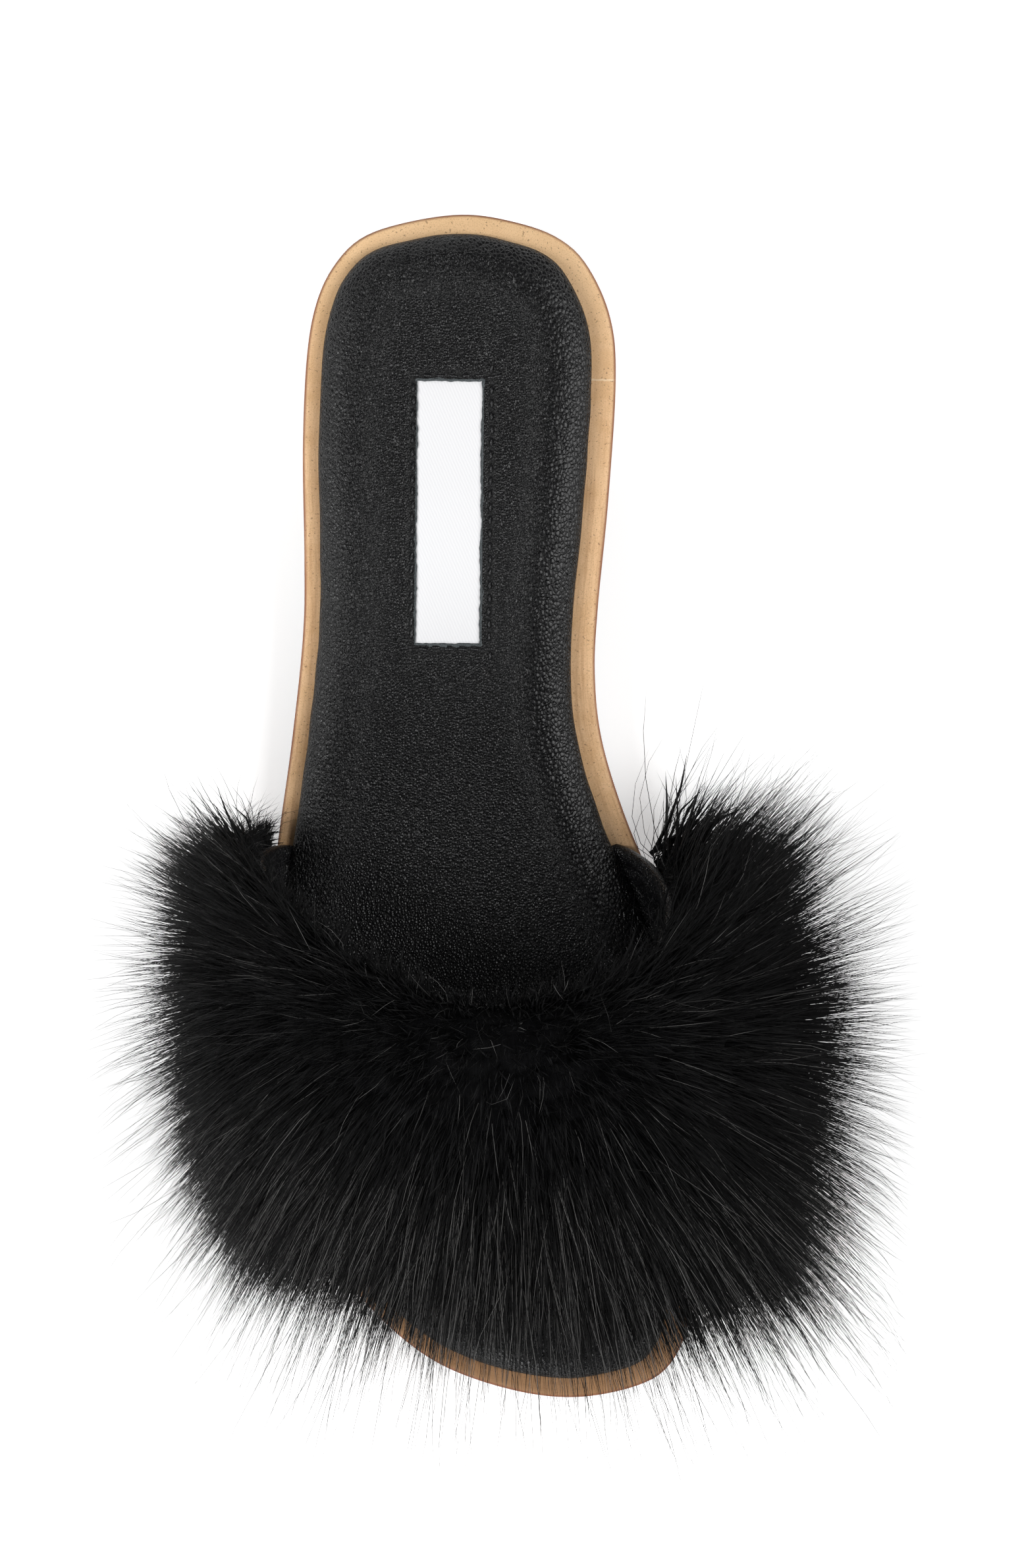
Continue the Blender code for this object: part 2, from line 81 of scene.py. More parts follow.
LABEL_ACROSS = -2.1 * MM
BAND_WALL = 2.2 * MM
BAND_FLANGE_LENGTH = 8 * MM
BAND_FLANGE_THICKNESS = 1.2 * MM
BAND_REAR_AT_SIDE = 133 * MM
BAND_REAR_AT_TOP = 164 * MM
BAND_FRONT_AT_SIDE = 210 * MM
BAND_FRONT_AT_TOP = 215 * MM
BAND_HEIGHT_REAR = 62 * MM
BAND_HEIGHT_FRONT = 38 * MM
BAND_BULGE = 6 * MM
BAND_CREST_SHIFT = 5 * MM
BAND_SQUARENESS = 2.3
BAND_SWEEP_MEDIAL = 0.85
BAND_SWEEP_LATERAL = 1.7

# The sole's outline: share of the length from the heel, and share of the ball width, medial side positive.
# It runs from the heel up the medial side, round the toe and back down the lateral side.
OUTLINE = [
    (0.000, 0.011), (0.006, 0.121), (0.019, 0.218), (0.042, 0.285), (0.086, 0.338), (0.140, 0.351),
    (0.242, 0.334), (0.332, 0.311), (0.388, 0.305), (0.444, 0.322), (0.510, 0.377), (0.577, 0.453),
    (0.652, 0.526), (0.744, 0.555), (0.852, 0.547), (0.928, 0.522), (0.966, 0.488), (0.988, 0.419),
    (1.000, 0.271), (0.994, 0.117), (0.971, -0.053), (0.930, -0.191), (0.870, -0.324), (0.800, -0.410),
    (0.712, -0.448), (0.620, -0.439), (0.532, -0.413), (0.444, -0.379), (0.354, -0.352), (0.288, -0.348),
    (0.198, -0.351), (0.120, -0.342), (0.074, -0.320), (0.042, -0.279), (0.019, -0.216), (0.006, -0.112),
]

# %% [markdown]
# ## Meshes from arrays
# A surface is a grid of points worked out with numpy. The two helpers below number a grid's quads and put
# points, faces and values for the materials into a mesh in one go. The third one merges points that lie in
# one place, such as a pole, and turns all faces outwards.

# %% Mesh helpers
def grid_quads(rows, columns, around=False):
    """Quads between the neighbouring rows and columns of a grid whose points are numbered row by row.

    With around, the last column joins the first one again."""
    ids = np.arange(rows * columns).reshape(rows, columns)
    if around:
        ids = np.concatenate([ids, ids[:, :1]], 1)
    return np.stack([ids[:-1, :-1], ids[:-1, 1:], ids[1:, 1:], ids[1:, :-1]], -1).reshape(-1, 4)


def unit(vectors):
    return vectors / np.linalg.norm(vectors, axis=-1)[..., None]


def closed_block(layers):
    """Quads of all six sides of a block whose points are numbered [layer, row, column]."""
    ids = np.arange(layers[..., 0].size).reshape(layers.shape[:3])
    sides = [ids[0], ids[-1], ids[:, 0], ids[:, -1], ids[:, :, 0], ids[:, :, -1]]
    return [np.stack([s[:-1, :-1], s[:-1, 1:], s[1:, 1:], s[1:, :-1]], -1).reshape(-1, 4) for s in sides]


def new_piece(name, points, faces, **values):
    """An object at the origin with a mesh of these points and faces.

    faces is a list of whole arrays, one array per number of corners. values are named numbers or
    vectors, one per point, that the materials read."""
    points = np.asarray(points, np.float32).reshape(-1, 3)
    mesh = bpy.data.meshes.new(name)
    mesh.vertices.add(len(points))
    mesh.vertices.foreach_set("co", points.ravel())
    corners = np.concatenate([block.ravel() for block in faces]).astype(np.int32)
    sides = np.concatenate([np.full(len(block), block.shape[1]) for block in faces])
    mesh.loops.add(len(corners))
    mesh.loops.foreach_set("vertex_index", corners)
    mesh.polygons.add(len(sides))
    starts = np.concatenate([[0], np.cumsum(sides)[:-1]]).astype(np.int32)
    mesh.polygons.foreach_set("loop_start", starts)
    mesh.update(calc_edges=True)
    for key, array in values.items():
        array = np.asarray(array, np.float32)
        kind, field = ("FLOAT", "value") if array.size == len(points) else ("FLOAT_VECTOR", "vector")
        mesh.attributes.new(key, kind, "POINT").data.foreach_set(field, array.ravel())
    mesh.shade_smooth()
    piece = bpy.data.objects.new(name, mesh)
    bpy.context.scene.collection.objects.link(piece)
    return piece


def close_up(piece, sharp_degrees=None):
    """Merges points that lie in one place and turns the faces of the closed mesh outwards."""
    work = bmesh.new()
    work.from_mesh(piece.data)
    bmesh.ops.remove_doubles(work, verts=work.verts[:], dist=0.002 * MM)
    bmesh.ops.recalc_face_normals(work, faces=work.faces[:])
    open_edges = sum(not edge.is_manifold for edge in work.edges)
    work.to_mesh(piece.data)
    work.free()
    piece.data.shade_smooth()
    if sharp_degrees:
        piece.data.set_sharp_from_angle(angle=math.radians(sharp_degrees))
    print(piece.name, "faces", len(piece.data.polygons), "open edges", open_edges)
    return piece


# %% [markdown]
# ## Materials from nodes
# Every finish is built from Blender's own noise, cell and wave textures, read in the object's coordinates or
# in values that the meshes carry, so nothing has to be painted. A pattern's scale is given as the size of
# one cell or wave in metres.

# %% Material helpers
class Finish:
    """A material with a Principled shader, and short ways to add and join nodes."""

    def __init__(self, name, colour, roughness, **sockets):
        self.material = bpy.data.materials.new(name)
        self.material.use_nodes = True
        self.tree = self.material.node_tree
        self.shader = self.tree.nodes["Principled BSDF"]
        self.shader.inputs["Base Color"].default_value = (*colour, 1)
        self.shader.inputs["Roughness"].default_value = roughness
        for key, value in sockets.items():
            self.shader.inputs[key.replace("_", " ")].default_value = value

    def node(self, kind, inputs=None, **settings):
        """Adds a node. inputs maps a socket's name or number to a value, or to an output to join."""
        made = self.tree.nodes.new(kind)
        for key, value in settings.items():
            setattr(made, key, value)
        for key, value in (inputs or {}).items():
            if isinstance(value, bpy.types.NodeSocket):
                self.tree.links.new(value, made.inputs[key])
            else:
                made.inputs[key].default_value = value
        return made

    def place(self, stretch=(1, 1, 1), turn=0.0):
        """Object coordinates, stretched along the axes and turned about Z."""
        where = self.node("ShaderNodeTexCoord").outputs["Object"]
        inputs = {"Vector": where, "Scale": stretch, "Rotation": (0, 0, turn)}
        return self.node("ShaderNodeMapping", inputs).outputs["Vector"]

    def value(self, name):
        """A number that the mesh carries."""
        return self.node("ShaderNodeAttribute", attribute_name=name).outputs["Fac"]

    def vector(self, name, stretch=(1, 1, 1)):
        """A vector that the mesh carries, stretched along its parts."""
        read = self.node("ShaderNodeAttribute", attribute_name=name).outputs["Vector"]
        return self.node("ShaderNodeMapping", {"Vector": read, "Scale": stretch}).outputs["Vector"]

    def noise(self, size, where=None, detail=3.0, roughness=0.55):
        inputs = {"Vector": where or self.place(), "Scale": 1 / size, "Detail": detail,
                  "Roughness": roughness}
        return self.node("ShaderNodeTexNoise", inputs).outputs["Fac"]

    def cells(self, size, where=None, feature="SMOOTH_F1"):
        inputs = {"Vector": where or self.place(), "Scale": 1 / size}
        return self.node("ShaderNodeTexVoronoi", inputs, feature=feature).outputs["Distance"]

    def math(self, operation, *values):
        return self.node("ShaderNodeMath", dict(enumerate(values)), operation=operation).outputs[0]

    def between(self, share, first, second):
        """Two numbers mixed by a share."""
        return self.math("MULTIPLY_ADD", self.math("SUBTRACT", second, first), share, first)

    def span(self, value, low, high, out_low=0.0, out_high=1.0):
        """The value moved from one range to another, smooth at both ends and held outside the range."""
        inputs = {"Value": value, "From Min": low, "From Max": high, "To Min": out_low, "To Max": out_high}
        return self.node("ShaderNodeMapRange", inputs, interpolation_type="SMOOTHSTEP").outputs["Result"]

    def mix(self, share, first, second):
        """Two colours mixed by a share. The node keeps its colours in sockets 6 and 7, and the mix in 2."""
        first, second = ((*c, 1) if isinstance(c, tuple) else c for c in (first, second))
        return self.node("ShaderNodeMix", {0: share, 6: first, 7: second}, data_type="RGBA").outputs[2]

    def bump(self, height, depth, strength=1.0, below=None):
        """A normal that follows a height between 0 and 1, which is this deep in metres."""
        inputs = {"Height": height, "Distance": depth, "Strength": strength}
        if below is not None:
            inputs["Normal"] = below
        return self.node("ShaderNodeBump", inputs).outputs["Normal"]

    def set(self, socket, output):
        self.tree.links.new(output, self.shader.inputs[socket])


def dress(piece, finish, slot, *nodes):
    """Gives a finished piece its material, lets it ride on the shoe and hides the solids that it stands for.
    """
    piece.data.materials.clear()
    piece.data.materials.append(finish.material)
    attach(piece, "root")
    if nodes:
        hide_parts(*nodes)
    return piece


# %% [markdown]
# ## The sole's curves
# Seen from above, all the sole's pieces follow one outline. Seen from the side, they follow one curve too:
# level over the heel, down through the waist, flat under the ball of the foot and up a little at the toe.

# %% Outline and side curve
def smoothstep(share):
    share = np.clip(share, 0, 1)
    return share * share * (3 - 2 * share)


def along_of(y):
    return HEEL_CENTRE - y


def sole_underside(y):
    """Height of the outsole's underside.

    The heel's lift fades out through the waist, and behind the toe it rises with the square of the way."""
    along = along_of(y)
    waist = smoothstep((along - HEEL_LENGTH) / (TREAD_START - HEEL_LENGTH))
    spring = np.clip((along - TREAD_END) / (SOLE_LENGTH - TREAD_END), 0, 1) ** 2
    return HEEL_LIFT * (1 - waist) + TOE_SPRING * spring


def board_underside(y):
    return sole_underside(y) + OUTSOLE_THICKNESS + GAP


def board_top(y):
    return board_underside(y) + BOARD_THICKNESS


def insole_underside(y):
    return board_top(y) + GAP


def smooth_outline(steps=24):
    """A closed curve through the outline's points.

    Between two points it is a cubic whose slope at each point is half the way between its neighbours."""
    along, across = np.array(OUTLINE).T
    corners = np.stack([across * BALL_WIDTH, HEEL_CENTRE - along * SOLE_LENGTH], 1)
    a, b, c, d = (np.roll(corners, shift, 0)[:, None, :] for shift in (1, 0, -1, -2))
    s = (np.arange(steps) / steps)[None, :, None]
    curve = 2 * b + (c - a) * s + (2 * a - 5 * b + 4 * c - d) * s**2 + (3 * b - a - 3 * c + d) * s**3
    return curve.reshape(-1, 2) / 2


def inwards(curve):
    """Unit vectors across a closed curve, into its inside."""
    ahead = np.roll(curve, -1, 0) - np.roll(curve, 1, 0)
    ahead /= np.linalg.norm(ahead, axis=1)[:, None]
    return np.stack([ahead[:, 1], -ahead[:, 0]], 1)


def side_x(curve, y):
    """x of the medial and of the lateral side of a closed curve at each y."""
    heel, toe = int(np.argmax(curve[:, 1])), int(np.argmin(curve[:, 1]))
    turned = np.roll(curve, -heel, 0)
    split = (toe - heel) % len(curve)
    medial, lateral = turned[: split + 1][::-1], turned[split:]
    return np.interp(y, medial[:, 1], medial[:, 0]), np.interp(y, lateral[:, 1], lateral[:, 0])


def insole_curve(distance=0.0):
    """The insole's outline moved inwards. It lies a little to the lateral side of the board's middle."""
    curve = smooth_outline()
    return curve + inwards(curve) * (RIM + distance) - np.array([INSOLE_SHIFT, 0])


print("outline points:", len(smooth_outline()))

# %% [markdown]
# ## A profile carried round the sole
# A sole's edge is the same profile all the way round, so a profile of insets and heights is carried along
# the outline. Its two ends run on to a spine in the middle of the sole, where they close. Each outline
# point is paired with a spine point: the two sides at one place share theirs, and heel and toe fan out
# from the spine's ends. That keeps the quads even, with no pole in sight.

# %% Rings round the sole
SPINE_HEEL_Y = -4 * MM
SPINE_TOE_Y = -190 * MM


def even_steps(path, count):
    """Points at equal steps along an open path, without its last point."""
    way = np.concatenate([[0], np.cumsum(np.linalg.norm(np.diff(path, axis=0), axis=1))])
    at = np.linspace(0, way[-1], count + 1)[:-1]
    return np.stack([np.interp(at, way, path[:, axis]) for axis in (0, 1)], 1)


def rays(curve, side_steps=170, cap_steps=64):
    """Outline points with their spine points, and the unit vectors inwards, all the way round."""
    heel = int(np.argmax(curve[:, 1]))
    turned = np.roll(curve, -heel, 0)
    cut = [int(np.argmin(abs(turned[:, 1] - y) + 10 * (turned[:, 0] * side < 0)))
           for y, side in ((SPINE_HEEL_Y, 1), (SPINE_TOE_Y, 1), (SPINE_TOE_Y, -1), (SPINE_HEEL_Y, -1))]
    y = np.linspace(SPINE_HEEL_Y, SPINE_TOE_Y, side_steps + 1)[:-1]
    y_back = np.linspace(SPINE_TOE_Y, SPINE_HEEL_Y, side_steps + 1)[:-1]
    medial, lateral = side_x(curve, y)[0], side_x(curve, y_back)[1]
    ends = [np.array([side_x(curve, v)[k], v]) for v, k in
            ((SPINE_TOE_Y, 0), (SPINE_TOE_Y, 1), (SPINE_HEEL_Y, 1), (SPINE_HEEL_Y, 0))]
    toe_cap = np.vstack([ends[0], turned[cut[1] + 1: cut[2]], ends[1]])
    heel_cap = np.vstack([ends[2], turned[cut[3] + 1:], turned[: cut[0]], ends[3]])
    points = np.vstack([np.stack([medial, y], 1), even_steps(toe_cap, cap_steps),
                        np.stack([lateral, y_back], 1), even_steps(heel_cap, cap_steps)])
    spine_y = np.clip(points[:, 1], SPINE_TOE_Y, SPINE_HEEL_Y)
    spine = np.stack([sum(side_x(curve, spine_y)) / 2, spine_y], 1)
    return points, spine, inwards(points)


def carried(curve, profile, side_steps=170, cap_steps=64):
    """Plan of a profile carried round a curve: [ring, point, (x, y)], and the way round in metres.

    profile rows are (inset in metres, share of the way to the spine)."""
    points, spine, inside = rays(curve, side_steps, cap_steps)
    inset, share = np.array(profile, float)[:, :2].T
    ring = points + inset[:, None, None] * inside
    ring = ring + share[:, None, None] * (spine - ring)
    steps = np.linalg.norm(np.diff(points, axis=0), axis=1)
    return ring, np.concatenate([[0], np.cumsum(steps)])


TO_SPINE = [0.12, 0.26, 0.42, 0.6, 0.8, 1.0]

# %% [markdown]
# ## The tan board
# The rim that shows round the insole is the top of a board of pressed leather fibre, sanded round at its
# outer edge. The board could be a plain slab with a bevel. It is carried round the outline here instead,
# because its rings also say how far a point lies from the edge and how far it is round the shoe, and the
# finish needs both: the edge is burnished darker, and the grain runs round with it.

# %% Board shape
BOARD_ROUND = 1.5 * MM
BOARD_LAYERS = [2.2 * MM, 4.3 * MM]
LAYER_GROOVE = 0.12 * MM


def board_profile():
    """Rows of inset, share to the spine and height over the board's underside, from the bottom to the top.

    The side is upright with a shallow groove between two layers. The outer edge of the top is a quarter of
    an ellipse, twice as wide as it is high."""
    rows = [(0.8 * MM, share, 0.0) for share in TO_SPINE[::-1]] + [(0.5 * MM, 0, 0.0), (0.0, 0, 0.4 * MM)]
    for height in BOARD_LAYERS:
        rows += [(0.0, 0, height - 0.15 * MM), (LAYER_GROOVE, 0, height), (0.0, 0, height + 0.15 * MM)]
    turn = np.radians(np.linspace(0, 90, 8))
    low = BOARD_THICKNESS - 0.55 * BOARD_ROUND
    rows += [(BOARD_ROUND * (1 - math.cos(t)), 0, low + 0.55 * BOARD_ROUND * math.sin(t)) for t in turn]
    rows += [(inset * MM, 0, BOARD_THICKNESS) for inset in (2.2, 3.2, 4.2, 5.5)]
    rows += [(5.5 * MM, share, BOARD_THICKNESS) for share in TO_SPINE]
    return rows


def build_board():
    rows = board_profile()
    plan, run = carried(smooth_outline(), rows)
    height = np.array(rows)[:, 2]
    z = board_underside(plan[..., 1]) + height[:, None]
    points = np.concatenate([plan, z[..., None]], -1)
    lay = np.stack(np.broadcast_arrays(run[None, :], np.array(rows)[:, :1], height[:, None]), -1)
    return close_up(new_piece("sole_board_rim", points, [grid_quads(*plan.shape[:2], around=True)], lay=lay))


# %% Board finish
JOINT_ALONG = 34.9 * MM
JOINT_WAVER = 0.8 * MM


def board_finish():
    """Tan fibre board: paler at the heel, which is painted light, streaked round the shoe, and darker brown
    towards the toe.

    Pale and dark fibres and a few dark dots lie over it. One joint line crosses the medial side near the
    heel. The outer edge is burnished reddish brown, and the side is darker, in thin layers."""
    f = Finish("tan_leatherboard", (0.66, 0.42, 0.2), 0.5, Specular_IOR_Level=0.3)
    parts = f.node("ShaderNodeSeparateXYZ", {"Vector": f.vector("lay")})
    inset, height = parts.outputs["Y"], parts.outputs["Z"]
    place = f.node("ShaderNodeSeparateXYZ", {"Vector": f.place()})
    x, y = place.outputs["X"], place.outputs["Y"]
    streak = f.noise(0.75 * MM, f.vector("lay", (0.05, 1, 1)), detail=5, roughness=0.7)
    speck = f.noise(0.3 * MM, detail=3, roughness=0.75)
    dots = f.noise(0.55 * MM, detail=1, roughness=0.5)
    cloud = f.noise(6 * MM, detail=3)
    tan = f.mix(f.span(cloud, 0.35, 0.7), (0.8, 0.52, 0.29), (0.71, 0.44, 0.225))
    forward = f.span(y, 0.0, -0.03)
    # Painted light: towards the heel the tan is mixed up to half way to a paler tan.
    tan = f.mix(f.span(y, -0.01, 0.03, 0.0, 0.5), tan, (0.92, 0.64, 0.36))
    grain = f.mix(f.math("MULTIPLY", f.span(streak, 0.44, 0.66), f.math("MULTIPLY_ADD", forward, 0.35, 0.08)),
                  tan, (0.46, 0.24, 0.105))
    grain = f.mix(f.math("MULTIPLY", f.span(speck, 0.5, 0.7), 0.5), grain, (0.4, 0.21, 0.09))
    grain = f.mix(f.math("MULTIPLY", f.span(speck, 0.42, 0.3), 0.5), grain, (0.86, 0.64, 0.4))
    grain = f.mix(f.math("MULTIPLY", f.span(dots, 0.66, 0.74), 0.55), grain, (0.16, 0.07, 0.03))
    toe = f.mix(f.span(y, -0.10, -0.19, 0.0, 0.8), grain, (0.26, 0.13, 0.058))
    joint_y = JOINT_ALONG - HEEL_CENTRE - JOINT_WAVER / 2
    waver = f.math("MULTIPLY_ADD", f.noise(1.5 * MM, detail=2), JOINT_WAVER, joint_y)
    off_joint = f.math("ABSOLUTE", f.math("ADD", y, waver))
    joint = f.math("MULTIPLY", f.span(off_joint, 0.3 * MM, 0.1 * MM), f.math("GREATER_THAN", x, 0.0))
    toe = f.mix(f.math("MULTIPLY", joint, 0.6), toe, (0.93, 0.74, 0.5))
    edge = f.math("MULTIPLY", f.span(inset, 0.75 * MM, 0.1 * MM), f.span(streak, 0.2, 0.6, 0.6, 1.0))
    burnt = f.mix(edge, toe, (0.24, 0.085, 0.04))
    layers = f.noise(0.35 * MM, f.vector("lay", (0.02, 1, 1)), detail=4)
    side = f.mix(f.span(layers, 0.35, 0.65), (0.13, 0.05, 0.022), (0.25, 0.105, 0.045))
    on_side = f.math("MULTIPLY", f.span(height, 5.9 * MM, 5.2 * MM), f.math("LESS_THAN", inset, 0.3 * MM))
    f.set("Base Color", f.mix(on_side, burnt, side))
    f.set("Roughness", f.span(speck, 0.3, 0.7, 0.42, 0.6))
    f.set("Normal", f.bump(streak, 0.05 * MM, 0.5, f.bump(speck, 0.05 * MM, 0.7)))
    return f


board = dress(build_board(), board_finish(), "tan_board", "sole_board")

# %% [markdown]
# ## The outsole
# Under the board lies a thin rubber outsole. Fine cross ribs under the ball of the foot give it grip. The
# ribs are cut in by lifting the rings of the underside in narrow valleys, so they stay inside the sheet.

# %% Outsole shape and finish
RIB_PITCH = 4.2 * MM
RIB_DEPTH = 0.7 * MM
RIB_BOW = 14
RIBS_START = 128 * MM
RIBS_END = 236 * MM
RIBS_FADE = 4 * MM


def ribs(x, y):
    """Depth of the tread's valleys: narrow, bent like a bow across the sole, and only under the forefoot."""
    along = along_of(y) + RIB_BOW * x**2
    wave = 0.5 + 0.5 * np.cos(2 * np.pi * along / RIB_PITCH)
    field = smoothstep((along - RIBS_START) / RIBS_FADE) * smoothstep((RIBS_END - along) / RIBS_FADE)
    return RIB_DEPTH * smoothstep((wave - 0.62) / 0.25) * field


def build_outsole():
    """The sheet carried round the sole, a little inside the board's outline, with ribs in its underside."""
    edge, flat = 0.5 * MM, 2.2 * MM
    rows = [(5 * MM, share, 0.0) for share in TO_SPINE[::-1]]
    rows += [(5 * MM, share, 0.0) for share in np.linspace(0.1, 0, 3)]
    rows += [(inset * MM, 0, 0.0) for inset in (4, 3, 2.2)]
    rows += [(edge, 0, 0.0), (0.15 * MM, 0, 0.15 * MM), (0, 0, edge), (0, 0, 2 * MM)]
    rows += [(0.15 * MM, 0, 2.4 * MM)]
    rows += [(0.5 * MM, share, OUTSOLE_THICKNESS) for share in (0, 0.3, 0.7, 1.0)]
    curve = smooth_outline()
    curve = curve + inwards(curve) * OUTSOLE_STEP
    plan, _ = carried(curve, rows, side_steps=300)
    height = np.array(rows)[:, 2]
    cut = (np.array(rows)[:, 0] >= flat) & (height < edge)
    valley = ribs(plan[..., 0], plan[..., 1]) * cut[:, None]
    z = sole_underside(plan[..., 1]) + height[:, None] + valley
    points = np.concatenate([plan, z[..., None]], -1)
    return close_up(new_piece("outsole_sheet", points, [grid_quads(*plan.shape[:2], around=True)]))


def rubber_finish(name, colour):
    f = Finish(name, colour, 0.62, Specular_IOR_Level=0.4)
    f.set("Roughness", f.span(f.noise(3 * MM), 0.3, 0.7, 0.55, 0.75))
    f.set("Normal", f.bump(f.noise(0.5 * MM, detail=4), 0.05 * MM, 0.4))
    return f


outsole = dress(build_outsole(), rubber_finish("outsole_black_rubber", (0.022, 0.02, 0.019)),
                "outsole_rubber", "outsole")

# %% [markdown]
# ## The heel
# The low heel is a stack of leatherboard layers on a rubber top piece. Both are walls carried round the
# back of the outline and across the hollow breast in front. The layers are real steps: a fine groove
# marks each joint, because a painted line alone would look flat from behind.

# %% Heel shapes
HEEL_LAYERS = 4
STACK_LOW = TOP_PIECE_THICKNESS + GAP
STACK_HIGH = HEEL_LIFT - GAP


def heel_curve(distance, side_steps=90, breast_steps=40):
    """Closed curve of the heel: the outline's back part, then the breast, a flat bow hollowed backwards."""
    curve = smooth_outline()
    curve = curve + inwards(curve) * distance
    back = curve[:, 1].max()
    breast = HEEL_CENTRE - HEEL_LENGTH + distance
    turn = np.linspace(0, np.pi / 2, side_steps)
    y = back + (breast - back) * (1 - np.cos(turn))
    medial, lateral = side_x(curve, y)
    cross = np.linspace(1, -1, breast_steps + 2)[1:-1]
    middle, half = (medial[-1] + lateral[-1]) / 2, (medial[-1] - lateral[-1]) / 2
    bow = np.stack([middle + half * cross, breast + HEEL_BREAST_HOLLOW * (1 - cross**2)], 1)
    return np.vstack([np.stack([medial, y], 1), bow, np.stack([lateral, y], 1)[:0:-1]])


def heel_wall(name, rows):
    """A wall of (inset, height) rows round the heel, closed flat at both ends by shrinking to its middle."""
    rows = [(rows[0][0], rows[0][1], s) for s in (1, 0.5)] + [(*row, 0) for row in rows]
    rows += [(rows[-1][0], rows[-1][1], s) for s in (0.5, 1)]
    middle = np.array([0.0, 1 * MM])
    rings = []
    for distance, height, share in rows:
        plan = heel_curve(distance)
        plan = plan + share * (middle - plan)
        rings.append(np.concatenate([plan, np.full((len(plan), 1), height)], 1))
    return close_up(new_piece(name, rings, [grid_quads(len(rings), len(rings[0]), around=True)]), 35)


def stack_inset(z):
    """Inset of the stack's side: the full taper at its foot, and 0.3 of it under the sole."""
    return HEEL_TAPER * (1 - 0.7 * (z - STACK_LOW) / (STACK_HIGH - STACK_LOW))


def stack_rows():
    """Rows of the stack: each layer's side is straight, with a groove as deep as it is high at its joint."""
    joints = np.linspace(STACK_LOW, STACK_HIGH, HEEL_LAYERS + 1)
    rows = [(stack_inset(STACK_LOW) + LAYER_GROOVE, STACK_LOW)]
    for bottom, top in zip(joints[:-1], joints[1:]):
        rows += [(stack_inset(bottom), bottom + LAYER_GROOVE), (stack_inset(top), top - LAYER_GROOVE),
                 (stack_inset(top) + LAYER_GROOVE, top)]
    return rows


def stack_finish():
    f = Finish("stacked_leatherboard", (0.3, 0.14, 0.06), 0.42, Specular_IOR_Level=0.45)
    z = f.node("ShaderNodeSeparateXYZ", {"Vector": f.place()}).outputs["Z"]
    up = f.math("SUBTRACT", z, STACK_LOW)
    layer = f.math("FLOOR", f.math("MULTIPLY", up, HEEL_LAYERS / (STACK_HIGH - STACK_LOW)))
    tone = f.node("ShaderNodeTexWhiteNoise", {"W": layer}, noise_dimensions="1D").outputs["Value"]
    fibre = f.noise(0.5 * MM, f.place((0.12, 0.12, 1)), detail=5, roughness=0.65)
    brown = f.mix(tone, (0.24, 0.105, 0.045), (0.38, 0.19, 0.085))
    f.set("Base Color", f.mix(f.span(fibre, 0.4, 0.7, 0, 0.65), brown, (0.11, 0.042, 0.018)))
    f.set("Roughness", f.span(fibre, 0.3, 0.7, 0.36, 0.52))
    f.set("Normal", f.bump(fibre, 0.08 * MM, 0.5))
    return f


top_piece_rows = [(HEEL_TAPER + 0.5 * MM, 0.0), (HEEL_TAPER + 0.15 * MM, 0.15 * MM), (HEEL_TAPER, 0.5 * MM),
                  (HEEL_TAPER, 2.8 * MM), (HEEL_TAPER + 0.1 * MM, TOP_PIECE_THICKNESS)]
heel_stack = dress(heel_wall("heel_stack_layers", stack_rows()), stack_finish(), "heel_stack", "heel_block")
top_piece = dress(heel_wall("heel_top_piece_rubber", top_piece_rows),
                  rubber_finish("top_piece_rubber", (0.03, 0.024, 0.02)), "heel_rubber", "heel_top_piece")

# %% [markdown]
# ## The padded insole
# The insole is a foam pad wrapped in thin pebbled leather. It stands up from the board with a rounded
# shoulder, is a little cupped in the middle, and the seam round the label pulls it down. A cloth
# simulation would swell it the same everywhere. The wrapped pad keeps an even shoulder, so its form is
# worked out: a quarter of a flat superellipse carried round the outline, and soft valleys in its top. Its
# mesh carries two values for the finish: the way from the edge, and how near a point is to the seam.

# %% Insole shape
SEAM_WIDTH = 16.4 * MM
SEAM_LENGTH = 57.2 * MM
SEAM_ACROSS = 0.45 * MM
SEAM_DIP = 0.65 * MM
SEAM_REACH = 0.8 * MM
STITCH_PITCH = 2.75 * MM
LABEL_TURN = math.radians(-0.6)
SHOULDER_REACH = 9 * MM
SHOULDER_START = 1.9 * MM
SHOULDER_POWER = 1.7
SIDE_WRINKLE = 0.06 * MM
WINDOW_ROOM = 0.8 * MM
INNER = insole_curve(INSOLE_SHOULDER)


def label_frame(x, y):
    """Coordinates across and along the label, from its middle, for points of the plan."""
    dx, dy = x - LABEL_ACROSS, y - (HEEL_CENTRE - LABEL_ALONG)
    across = dx * math.cos(LABEL_TURN) + dy * math.sin(LABEL_TURN)
    return across, dy * math.cos(LABEL_TURN) - dx * math.sin(LABEL_TURN)


def box_distance(across, along, width, length):
    """Signed distance from a rectangle's edge: less than 0 inside it."""
    a, b = abs(across) - width / 2, abs(along) - length / 2
    outside = np.hypot(np.maximum(a, 0), np.maximum(b, 0))
    return outside + np.minimum(np.maximum(a, b), 0)


def near_seam(x, y):
    """1 on the seam round the label, falling off on both sides like a bell curve."""
    across, along = label_frame(x, y)
    off = box_distance(across - SEAM_ACROSS, along, SEAM_WIDTH, SEAM_LENGTH)
    return np.exp(-((off / SEAM_REACH) ** 2))


